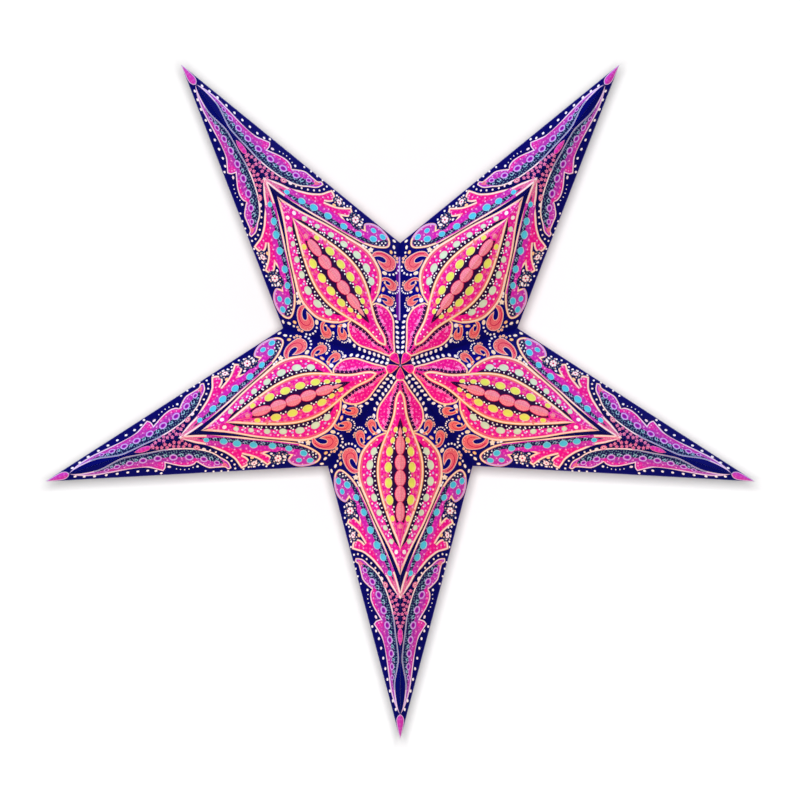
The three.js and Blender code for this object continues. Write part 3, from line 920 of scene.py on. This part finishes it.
def paintRingLeaf():
    leaf = ringLeafPrint
    paintRims(cornered(*leaf["outer"], leaf["inner"]), leaf["rims"], "violet")
    paintBeside("cream", leaf["inner"][slice(*leaf["innerRimStops"])], **leaf["innerRim"])
    paintBeside("slate", leaf["inner"][slice(*leaf["coolRimStops"])], **leaf["coolRim"])
    paint("midnight", cornered(leaf["ringLine"], leaf["shadeBack"]))
    paint("pink", curveThrough(leaf["hookTip"], steps=1, closed=True))
    paintLines("pink", **leaf["scallopGlow"])
    paintLines("fuchsia", **leaf["tailGlow"])
    paint("coral", curveThrough(leaf["footGlow"], steps=1, closed=True))
    paintDots("blush", **leaf["dots"])
    rings, fading, speck = leaf["rings"], leaf["fading"], leaf["speck"]
    gaps = gapsIn(rings)
    for ring, between, step in gaps:
        deeper = rightOf(step)
        fade = 1 - fading["share"] * (between.x - fading["from"]) / fading["over"]
        for curl, origin in zip(leaf["curls"], (between, ring)):
            paintCurl("teal", origin + deeper * curl["depth"] * fade, curl["radius"] * fade, curl["width"],
                      curl["start"], curl["sweep"])
        spot = between + deeper * speck["depth"] * fade + Vector((speck["ahead"], 0))
        paint("lilac", oval(spot, *speck["size"], sides=6))
    for _, between, step in gaps:
        paint("lilac", oval(between, *leaf["link"], leanOf(step), sides=6))
    for i, (centre, length, width) in enumerate(rings):
        lean = leanOf(Vector(rings[min(i + 1, len(rings) - 1)][0]) - Vector(rings[max(i - 1, 0)][0]))
        for ink, share, sideShare, sides in leaf["ringLayers"]:
            paint(ink, oval(centre, length * share, width * sideShare, lean, sides))


# Print: paisley hooks between the petals and the valley
paisley = {
    "body": [
        [(90.6, 33.4), (91.6, 36.6), (90, 40.2), (86.6, 43.2), (82, 45.4), (77.8, 46.6), (75.4, 47)],
        [(75.4, 47), (72.2, 45.6), (70, 43.2), (69.4, 40.4), (70.6, 37.4), (73.4, 35.2), (77.2, 34.3),
         (81.2, 34.3), (84.8, 35.2)],
        [(84.8, 35.2), (82, 36.5), (79.6, 37.9), (78.8, 39.4), (80.2, 40.6), (83.4, 40), (86.4, 37.8),
         (88, 35), (88.6, 33.2), (90.6, 33.4)],
    ],
    "bodyRim": 0.55,
    "headDots": [(71.6, 42.8), (71.4, 40.4), (73, 37.6)],
    "headDotSize": 0.8,
    "vein": [(89.4, 37.6), (86.4, 41.2), (82.4, 43.2), (78, 43.6), (74.6, 42), (74, 39.4), (75.6, 37.2),
             (79.4, 36.4)],
    "veinWidth": (0.9, 0.5),
    "knobs": [((72.8, 47.4), 2.6), ((75.2, 48.8), 2.8), ((77.8, 48.4), 2.2)],
    "knobTurn": 30,
    # Each knob is two ovals: ink, length and width as shares of its size, and sides
    "knobLayers": [("peachLight", 1, 0.9, 7), ("peach", 0.55, 0.5, 6)],
    "arc": [(68.6, 46), (66.5, 43.8), (65.9, 41.3), (66.4, 38.7), (68.2, 36.1)],
    # Length and width of an arc's dot: what grows with the paisley, and what doesn't
    "arcDot": ((1.6, 0.5), (1.3, 0.4)),
    "base": ((72, 33.6), 4.6, 2.9, -25),
    "centre": (80.5, 40.8),
}
# Where each one stands, how much smaller than the first it is along and aside, and its turn
paisleyPlaces = [((80.5, 40.8), 1, 1, 0), ((62.4, 32.4), 0.68, 0.62, 1), ((53.2, 22.7), 0.62, 0.56, -6)]


def paintPaisleys():
    for centre, reach, width, turn in paisleyPlaces:
        lean = Matrix.Rotation(math.radians(turn), 2)
        middle = Vector(paisley["centre"])

        def placed(stops):
            out = []
            for stop in stops:
                away = Vector(stop) - middle
                out.append(Vector(centre) + lean @ Vector((away.x * reach, away.y * width)))
            return out

        size = (reach + width) / 2
        for place, knobSize in paisley["knobs"]:
            knob, knobSize = placed([place])[0], knobSize * size
            for ink, share, sideShare, sides in paisley["knobLayers"]:
                paint(ink, oval(knob, knobSize * share, knobSize * sideShare, paisley["knobTurn"], sides))
        body = cornered(*(placed(line) for line in paisley["body"]), steps=2)
        paint("peachLight", body)
        paint("coral", drawnIn(body, paisley["bodyRim"] * size))
        paintLines("coralDeep", [placed(paisley["vein"])], *(wide * size for wide in paisley["veinWidth"]))
        paintDots("peachLight", placed(paisley["headDots"]), paisley["headDotSize"] * size)
        arcDot = [grown * size + fixed for grown, fixed in paisley["arcDot"]]
        paintOvals("white", [(place, *arcDot, 0) for place in placed(paisley["arc"])], sides=7)
        place, baseLength, baseWidth, tilt = paisley["base"]
        paint("cream", oval(placed([place])[0], baseLength * size, baseWidth * size, tilt))


# Print: florets, dots along the side edge and the coral cluster in the fork
scatterPrint = {
    "florets": [((122.9, 40.2), 3.2, 2.9), ((143.6, 38), 3, 1.8)],
    "floretParts": {
        "ground": 1.9, "petals": 6, "petalReach": 0.68, "petal": 0.62, "middle": 0.95, "heart": 0.6},
    "floretGround": [((121.8, 39.6), 17, 9.4, 6), ((144, 37.4), 11, 6, -12)],
    "floretDots": {
        "places": [(116.4, 41.8), (118.2, 38.2), (120.8, 36.4), (126, 36.8), (126.8, 41.6), (122.8, 44.2),
                   (118.8, 43), (115.2, 39.6), (139.4, 40.2), (141.2, 36.6), (145.4, 35.2), (147.4, 37.2),
                   (147, 40), (143.6, 40.8)],
        "size": 1.3,
    },
    "blots": [((117.3, 40.5), 3.4, 2.3, -30), ((127.2, 35), 2.6, 1.7, -10), ((137, 38.8), 2.2, 1.4, 0),
              ((101.6, 32.9), 3, 1.7, -25), ((99.2, 34), 2.4, 1.6, -25)],
    # Drops in two inks: the ovals, and the inner one's shares of their length and width
    "valleyDrops": ([((61.8, 25), 4.4, 2.4, 50), ((58.6, 20.9), 3, 1.9, 40),
                     ((65.6, 29.2), 2.6, 1.7, 45)], 0.65, 0.6),
    "goldDrops": ([((143.9, 33.2), 3.6, 2.3, -15), ((82.6, 48), 3.6, 2.4, 10)], 0.7, 0.7),
    "headDrops": ([((84.4, 52.2), 3.6, 2.2, 20), ((88.4, 55.4), 3.6, 1.9, -10),
                   ((80.2, 50.4), 2.2, 1.6, 0)], 0.6, 0.6),
    "headStar": ((94.7, 35.7), 2.6),
    "edgeDots": {
        "places": [(117.6, 43.2), (119.4, 45), (124.4, 44.3), (128.7, 44.7), (134.3, 43.4), (136.5, 41.4),
                   (140.3, 40.6), (144.7, 40.5), (149, 39.6), (153.7, 39.8), (104.6, 55.2), (110.4, 53.6),
                   (160.3, 37.3), (166.8, 37.6), (172.3, 35.9), (178.8, 34.3), (185.2, 31.9)],
        "size": 1.55, "stretch": 1.25, "sides": 7,
    },
    "forkDots": {
        "places": [(159.9, 34.1), (161.4, 30.6), (164.3, 27), (167.9, 23.3), (172.1, 20), (176.4, 17.2)],
        "size": 1.6, "stretch": 1.2, "sides": 7,
    },
    "forkOvals": [((181.1, 14.9), 3.6, 2.4, -25), ((213.8, 19.6), 3.2, 1.8, -20)],
    "leafDots": {"places": [(190.6, 26.4), (221.9, 22.6)], "size": 1.8, "stretch": 1.3, "sides": 7},
    "fineDots": {
        "places": [(194.5, 26), (198.2, 26.2), (201.8, 25.6), (205.2, 24.4), (208.4, 23)],
        "size": 1, "stretch": 1.1,
    },
    "tipDots": {
        "places": [(225.6, 19.4), (232.3, 17.2), (240.5, 15.4), (249, 13.7), (258, 12), (267.2, 10.3),
                   (276.6, 8.3), (284.3, 5.9), (291.2, 3.6)],
        "size": 1.65, "stretch": 1.6, "sides": 8,
    },
    "forkFlorets": [(191.8, 8.4), (194.6, 6.2), (197, 8), (199.6, 3.6), (201, 6.6), (203.6, 2.2),
                    (205, 5.2), (207.8, 3.2), (210.7, 4.8), (211.6, 1.6), (215, 3.2), (218.8, 2.2),
                    (196.6, 2.4), (222, 0.8)],
    "forkFloretRadius": 1.85,
    "forkBlossom": ((186.5, 11.8), 5.8, 3.8, -25),
    # The blossom is three ovals: ink, share of its size, and sides
    "blossomLayers": [("rose", 1, 9), ("peachLight", 0.6, 7), ("coralDeep", 0.32, 6)],
    "forkDrop": [(222.8, 0), (225.6, 1.7), (230, 2.1), (234.4, 1.6), (238.6, 0)],
    "forkDropRims": [("rose", 0.4)],
    "tipDrop": [(294.9, 0), (296.4, 2), (299.6, 3.1), (304, 2.6), (309, 1.5), (315, 0)],
    "tipDropRims": [("peach", 0.5)],
}


def paintFloret(centre, length, width):
    parts = scatterPrint["floretParts"]
    paint("coral", oval(centre, length * parts["ground"], width * parts["ground"], sides=10))
    for i in range(parts["petals"]):
        turn = 2 * math.pi * (i + 0.5) / parts["petals"]
        away = Vector((math.cos(turn) * length, math.sin(turn) * width)) * parts["petalReach"]
        paint("white", oval(Vector(centre) + away, length * parts["petal"], width * parts["petal"], sides=7))
    paint("white", oval(centre, length * parts["middle"], width * parts["middle"]))
    paint("coralDeep", oval(centre, length * parts["heart"], width * parts["heart"], sides=7))


def paintScatter():
    scatter = scatterPrint
    paintOvals("midnight", scatter["floretGround"], sides=12)
    paintDots("peachLight", **scatter["floretDots"])
    for placed in scatter["florets"]:
        paintFloret(*placed)
    paintOvals("white", scatter["blots"])
    paintRimmed("peach", "cream", *scatter["valleyDrops"])
    paintRimmed("peach", "straw", *scatter["goldDrops"])
    paint("cream", floret(*scatter["headStar"]))
    paintRimmed("cream", "white", *scatter["headDrops"])
    paintDots("white", **scatter["edgeDots"])
    paintDots("cream", **scatter["forkDots"])
    paintOvals("cream", scatter["forkOvals"])
    for dots in ("leafDots", "fineDots", "tipDots"):
        paintDots("white", **scatter[dots])
    for centre in scatter["forkFlorets"]:
        paint("rose", floret(centre, scatter["forkFloretRadius"]))
    centre, length, width, turn = scatter["forkBlossom"]
    for ink, share, sides in scatter["blossomLayers"]:
        paint(ink, oval(centre, length * share, width * share, turn, sides))
    for name in ("forkDrop", "tipDrop"):
        paintRims(bothSides(curveThrough(scatter[name])), scatter[name + "Rims"], "pink")


# A pale line is laid along the side edge, where the panel folds
paleSideLine = {"stops": [86, 120, 160, 200, 240, 280, 312], "inset": 0.2, "width": 0.55}
side = [Vector((along, edgeAt(along) - paleSideLine["inset"])) for along in paleSideLine["stops"]]
printLayers += [("worn", outline) for outline in penLine(side, paleSideLine["width"])]
paintOrder = (
    paintRingLeaf, paintHookLeaf, paintHeart, paintCollar, paintPetal, paintPaisleys, paintScatter)
for paintPart in paintOrder:
    paintPart()
print("print drawn:", len(printLayers), "shapes")

# The panel left of the seam has painted light along its fold: a plum strip of painted shading under the
# print, and over it a pale lilac line, a painted highlight where the fold catches the light
seamPrint = {"from": 38, "to": 92, "glint": 1.1, "shade": 3.4}


def seamLine(ink, width):
    turn = turnPerPoint / 2
    along, inwards = Vector((math.cos(turn), math.sin(turn))), Vector((math.sin(turn), -math.cos(turn)))
    line = [along * seamPrint[end] + inwards * (width / 2) for end in ("from", "to")]
    return [(ink, outline) for outline in penLine(line, width)]


# Painted shading and a painted highlight line along the seam's fold
seamShade, seamGlint = seamLine("plum", seamPrint["shade"]), seamLine("lilac", seamPrint["glint"])


# Cutting a sheet of card or tissue out of its print: the arrangement of all outlines, each piece
# in the ink that was laid last
sheetCut = {"grid": 7, "weld": 0.01, "sliver": 1e-5, "leastArea": 0.02, "onRim": 1e-4}


def triangleShares(place, corners):
    a, b, c = corners
    whole = (b - a).cross(c - a)
    return ((b - place).cross(c - place) / whole, (c - place).cross(a - place) / whole,
            (a - place).cross(b - place) / whole)


def cutSheet(outerCorners, layers, ground, thickness, innerCorners=None):
    spots = [Vector(c) for c in outerCorners]
    shapes = [list(range(len(spots)))]
    shapeInks = [ground]
    for ink, outline in layers:
        flat = counterClockwise(outline)
        if len(flat) < 3 or area(flat) < sheetCut["leastArea"]:
            continue
        shapes.append(list(range(len(spots), len(spots) + len(flat))))
        spots += flat
        shapeInks.append(ink)
    # A loose grid of places between them keeps the triangles even
    grid = sheetCut["grid"]
    for i in range(1, int(ridgeLength / grid)):
        for j in range(1, int(notchHeight / grid)):
            spots.append(Vector((i * grid + (j % 2) * grid / 2, j * grid)))
    places, _, triangles, _, _, sources = delaunay_2d_cdt(spots, [], shapes, 1, sheetCut["weld"], True)
    sheet = bmesh.new()
    inkLayer = sheet.loops.layers.float_color.new("ink")
    stippleLayer = sheet.loops.layers.float_color.new("stipple")
    stipplePlace = sheet.loops.layers.uv.new("stipplePlace")
    corners = {}
    for triangle, source in zip(triangles, sources):
        if 0 not in source:
            continue
        ink = shapeInks[max(source)]
        if ink == "window":
            continue
        for i in triangle:
            if i not in corners:
                corners[i] = sheet.verts.new((*places[i], 0))
        spread = area([places[i] for i in triangle])
        if abs(spread) < sheetCut["sliver"]:
            continue
        face = sheet.faces.new([corners[i] for i in (triangle if spread > 0 else triangle[::-1])])
        for loop in face.loops:
            flat = loop.vert.co
            aside = flat.y / notchStretch
            seen = ((flat.x - aside * notchLean) / ridgeStretch, aside)
            loop[inkLayer] = inkColour(ink, seen)
            if ink in stipples:
                dotInk, spacing, strength = stipples[ink]
                loop[stippleLayer] = (*inkColour(dotInk, seen)[:3], strength)
                loop[stipplePlace].uv = (seen[0] / spacing, seen[1] / spacing)
            else:
                loop[stippleLayer] = (0, 0, 0, 0)
    bareBack = colour(bareCardLook["light"])
    rim = [e for e in sheet.edges if e.is_boundary]
    extruded = bmesh.ops.extrude_edge_only(sheet, edges=rim)["geom"]
    backRim = [g for g in extruded if isinstance(g, bmesh.types.BMEdge)]
    backRim = [e for e in backRim if e.is_boundary and all(v in extruded for v in e.verts)]
    walls = [g for g in extruded if isinstance(g, bmesh.types.BMFace)]
    for vert in {v for e in backRim for v in e.verts}:
        if innerCorners:
            shares = triangleShares(vert.co.to_2d(), outerCorners)
            if min(shares) < sheetCut["onRim"]:
                moved = sum((c * s for c, s in zip(innerCorners, shares)), Vector((0, 0)))
                vert.co = (*moved, 0)
        vert.co.z = -thickness
    back = bmesh.ops.triangle_fill(sheet, edges=backRim, use_beauty=True, use_dissolve=False)["geom"]
    for face in walls + [g for g in back if isinstance(g, bmesh.types.BMFace)]:
        face.material_index = 1
        for loop in face.loops:
            loop[inkLayer] = bareBack
            loop[stippleLayer] = (0, 0, 0, 0)
    bmesh.ops.recalc_face_normals(sheet, faces=sheet.faces)
    if sheet.calc_volume(signed=True) < 0:
        bmesh.ops.reverse_faces(sheet, faces=sheet.faces)
    openEdges = [e for e in sheet.edges if not e.is_manifold]
    print("sheet cut:", len(sheet.faces), "faces,", len(openEdges), "open edges")
    return sheet


def laidLayers(layers):
    return [(ink, [laidFlat(p) for p in outline]) for ink, outline in layers]


gap = star["creaseGap"]
outerCorners = insetCorners(flatCorners, [gap, gap, 0])
innerCorners = insetCorners(flatCorners, [
    gap + star["card"] / math.tan(math.radians(star["ridgeMitre"])),
    gap + star["card"] / math.tan(math.radians(star["sideMitre"])),
    0,
])
panelSheet = cutSheet(outerCorners, laidLayers(printLayers), "navy", star["card"], innerCorners)
# The panel beside the seam: its print with the painted shading strip under it and the painted highlight line
# over it
seamLitSheet = cutSheet(
    outerCorners, laidLayers(seamShade + printLayers + seamGlint), "navy", star["card"], innerCorners)

# Dyed liner behind the windows: yellow under the petal, green under the collar, cyan beyond them
liner = {"thickness": 0.1, "paste": 0.1, "ridgeInset": 9, "edgeInset": 11.5, "tipTrim": 95}
linerCentre, linerTip, linerNotch = insetCorners(
    flatCorners, [liner["ridgeInset"], liner["edgeInset"], liner["edgeInset"]])
linerCorners = [
    linerCentre,
    linerTip - Vector((liner["tipTrim"], 0)),
    linerTip + (linerNotch - linerTip).normalized() * liner["tipTrim"],
    linerNotch,
]
underCollar = bothSides(curveThrough(collarPrint["profile"]) + [Vector(collarPrint["start"][-1])])
underPetal = bothSides(curveThrough(petalPrint["profile"]))
dyes = (("green", underCollar), ("yellow", underPetal))
dyeLayers = [(ink, [placedOnPanel(p) for p in outline]) for ink, outline in dyes]
linerSheet = cutSheet(linerCorners, laidLayers(dyeLayers), "cyan", liner["thickness"])

# Flanges of the seam: x along the valley from the star's centre, y into the star
flange = {
    "gap": 0.3,
    "width": 14,
    "rootOverlap": 0.05,
    "centreTrim": 24,
    "centreTaper": 46,
    "notchTrim": 22,
    "notchTaper": 8,
    "holeRadius": 2.5,
    "eyeletShares": {"front": [0.48, 0.87], "back": [0.48]},
}
flangeEnd = valley.length - flange["notchTrim"]
flangeCorners = [
    Vector((flange["centreTrim"], -flange["rootOverlap"])),
    Vector((flangeEnd, -flange["rootOverlap"])),
    Vector((flangeEnd - flange["notchTaper"], flange["width"])),
    Vector((flange["centreTrim"] + flange["centreTaper"], flange["width"])),
]


def flangeSheet(faceName):
    length = flangeEnd - flange["centreTrim"]
    hole, punched = flange["holeRadius"] * 2, []
    for share in flange["eyeletShares"][faceName]:
        centre = (flange["centreTrim"] + share * length, flange["width"] / 2)
        punched.append(("window", oval(centre, hole, hole, sides=drawing["windowSides"])))
    return cutSheet(flangeCorners, punched, "navy", star["card"])


# Where a flange lies: the a half of point 1 is at +X, and its printed face looks across the seam
def flangePlace(side, half):
    centre = Vector((0, side * star["halfDepth"], 0))
    along = (rimPlace(star["notchRadius"], 0) - centre).normalized()
    inwards = -centre
    inwards = (inwards - along * inwards.dot(along)).normalized()
    away = 1 if half == "a" else -1
    place = Matrix((along, inwards, Vector((-away, 0, 0)))).transposed().to_4x4()
    place.translation = centre + starCentre + Vector((away * flange["gap"] / 2, 0, 0))
    return place


# Where each panel lies: x along its ridge, z out of its printed face
def panelPlace(side, point, half):
    centre = Vector((0, side * star["halfDepth"], 0))
    along = (rimPlace(star["tipRadius"], (point - 0.5) * turnPerPoint) - centre).normalized()
    notchTurn = (point - 1 if half == "a" else point) * turnPerPoint
    across = rimPlace(star["notchRadius"], notchTurn) - centre
    outwards = along.cross(across).normalized()
    if outwards.dot(centre) < 0:
        outwards.negate()
    upwards = outwards.cross(along)
    hand = 1 if upwards.dot(across) > 0 else -1
    place = Matrix((along, upwards, outwards)).transposed().to_4x4()
    place.translation = centre + starCentre
    return place, hand


# One piece out of sheets, each with its place. A place that mirrors a sheet turns its faces back.
def makePiece(name, placed, finishes):
    joined = bmesh.new()
    mesh = bpy.data.meshes.new(name)
    for sheet, place in placed:
        copy = sheet.copy()
        bmesh.ops.transform(copy, matrix=Matrix.Scale(mm, 4) @ place, verts=copy.verts)
        if place.determinant() < 0:
            bmesh.ops.reverse_faces(copy, faces=copy.faces)
        copy.to_mesh(mesh)
        copy.free()
        joined.from_mesh(mesh)
    joined.to_mesh(mesh)
    joined.free()
    for finish in finishes:
        mesh.materials.append(finish)
    piece = bpy.data.objects.new(name, mesh)
    bpy.context.scene.collection.objects.link(piece)
    return piece


faceSides = {"front": -1, "back": 1}
linerDrop = Matrix.Translation((0, 0, -star["card"] - liner["paste"]))
for faceName, side in faceSides.items():
    foldedIn = flangeSheet(faceName)
    for point in range(1, star["points"] + 1):
        for half in "ab":
            place, hand = panelPlace(side, point, half)
            handed = place @ Matrix.Diagonal((1, hand, 1, 1))
            name = f"point_{point}_{faceName}"
            # The front b half of the last point, beside the seam, takes the sheet with painted shading and a
            # painted highlight
            seamLit = faceName == "front" and (point, half) == (star["points"], "b")
            sheets = [(seamLitSheet if seamLit else panelSheet, handed)]
            if (point, half) in ((1, "a"), (star["points"], "b")):
                sheets.append((foldedIn, flangePlace(side, half)))
            piece = makePiece(f"{name}_print_{half}", sheets, [cardInk, cardBack])
            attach(piece, f"{name}_{half}")
            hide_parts(f"{name}_panel_{half}")
            piece = makePiece(f"{name}_tissue_{half}", [(linerSheet, handed @ linerDrop)], [tissue, tissue])
            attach(piece, f"{name}_{half}")
            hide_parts(f"{name}_liner_{half}")
print("panels placed")

for name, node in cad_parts.items():
    finish = brass if "eyelet" in name else cardBack
    for slot in node.material_slots:
        slot.material = finish


# Studio
studio = {
    "ambient": 0.46,
    # In mm: the floor far under the lowest tip, since the star hangs, and the wall close behind it,
    # to take its soft shadow
    "floor": {"corner": (-4000, -6000, -1700), "along": (8000, 0, 0), "up": (0, 10000, 0)},
    "wall": {"corner": (-1500, 130, -1700), "along": (3000, 0, 0), "up": (0, 0, 3200)},
    "floorPaper": "#F4F4F4",
    "floorGlow": 0.5,
    "wallPaper": "#BBBBBB",  # lit on its own, up to white
    "key": {"energy": 35, "size": 1.3, "distance": 2.2, "turn": -22, "lean": 36, "tone": "#E2ECFF"},
    "fill": {"energy": 31, "size": 1.6, "distance": 2.2, "turn": 176, "lean": 38, "tone": "#FFC47A"},
    "rear": {"energy": 28, "size": 1.3, "distance": 2.2, "turn": 30, "lean": 140, "tone": "#F5F8FF"},
    "wash": {"energy": 178, "size": 0.32, "distance": 3.2, "turn": -10, "lean": 1.1, "tone": "#FFFFFF"},
}


# One where something looks straight at a surface: the camera, or a shiny or a clear thing before it
def seenStraight(tree):
    rays = addNode(tree, "LightPath")
    seen = rays.outputs["Is Camera Ray"]
    for ray in ("Is Glossy Ray", "Is Transmission Ray"):
        seen = addNode(tree, "Math", {0: seen, 1: rays.outputs[ray]}, operation="MAXIMUM").outputs[0]
    return seen


def setStudio(wall):
    world = bpy.data.worlds.new("paleStudio")
    bpy.context.scene.world = world
    world.use_nodes = True
    tree = world.node_tree
    tree.nodes.clear()
    light = addNode(tree, "Background", Color=(1, 1, 1, 1), Strength=studio["ambient"])
    white = addNode(tree, "Background", Color=(1, 1, 1, 1), Strength=1.0)
    sky = addNode(tree, "MixShader", {0: seenStraight(tree), 1: light.outputs[0], 2: white.outputs[0]})
    addNode(tree, "OutputWorld", {"Surface": sky.outputs[0]})

    middle = Vector((0, 0, photoView["height"])) * mm
    for name in ("key", "fill", "rear", "wash"):
        lamp = studio[name]
        light = bpy.data.lights.new(name + "Softbox", "AREA")
        light.energy, light.size = lamp["energy"], lamp["size"]
        light.color = linear(lamp["tone"])
        turn, lean = math.radians(lamp["turn"]), math.radians(lamp["lean"])
        away = Vector((math.sin(turn) * math.sin(lean), -math.cos(lean), math.cos(turn) * math.sin(lean)))
        box = bpy.data.objects.new(name + "Softbox", light)
        box.location = middle + away * lamp["distance"]
        box.rotation_euler = (-away).to_track_quat("-Z", "Y").to_euler()
        bpy.context.scene.collection.objects.link(box)
        # The wash lights the wall alone, where it draws the star's shadow, and the rest miss it
        aimed = bpy.data.collections.new(name + "Aim")
        aimed.objects.link(wall)
        aimed.collection_objects[0].light_linking.link_state = "INCLUDE" if name == "wash" else "EXCLUDE"
        box.light_linking.receiver_collection = aimed


def stagePlane(name, finish, corner, along, up):
    corner, along, up = Vector(corner), Vector(along), Vector(up)
    corners = (corner, corner + along, corner + along + up, corner + up)
    mesh = bmesh.new()
    mesh.faces.new([mesh.verts.new(c * mm) for c in corners])
    data = bpy.data.meshes.new(name)
    mesh.to_mesh(data)
    mesh.free()
    data.materials.append(finish)
    plane = bpy.data.objects.new(name, data)
    bpy.context.scene.collection.objects.link(plane)
    return plane


# Matt paper, brighter by its glow where it is looked straight at. The wall's shows on one side
# only, so that the star can be seen from behind.
def stagePaper(name, tone, glow, oneSided):
    finish, tree = newFinish(name)
    paper = addNode(tree, "BsdfDiffuse", Color=colour(tone)).outputs[0]
    if glow:
        light = addNode(tree, "Emission", {"Strength": seenStraight(tree)}, Color=(glow, glow, glow, 1))
        paper = addNode(tree, "AddShader", {0: paper, 1: light.outputs[0]}).outputs[0]
    if oneSided:
        clear = addNode(tree, "BsdfTransparent")
        behind = addNode(tree, "NewGeometry").outputs["Backfacing"]
        paper = addNode(tree, "MixShader", {0: behind, 1: paper, 2: clear.outputs[0]}).outputs[0]
    addNode(tree, "OutputMaterial", {"Surface": paper})
    return finish


floorPaper = stagePaper("floor_paper", studio["floorPaper"], studio["floorGlow"], False)
wallPaper = stagePaper("wall_paper", studio["wallPaper"], 0, True)
stagePlane("paleFloor", floorPaper, **studio["floor"])
wall = stagePlane("paleWall", wallPaper, **studio["wall"])
wall.visible_diffuse = wall.visible_glossy = wall.visible_transmission = wall.visible_shadow = False
bpy.context.scene.view_settings.view_transform = "Standard"
setStudio(wall)
print("studio lit")
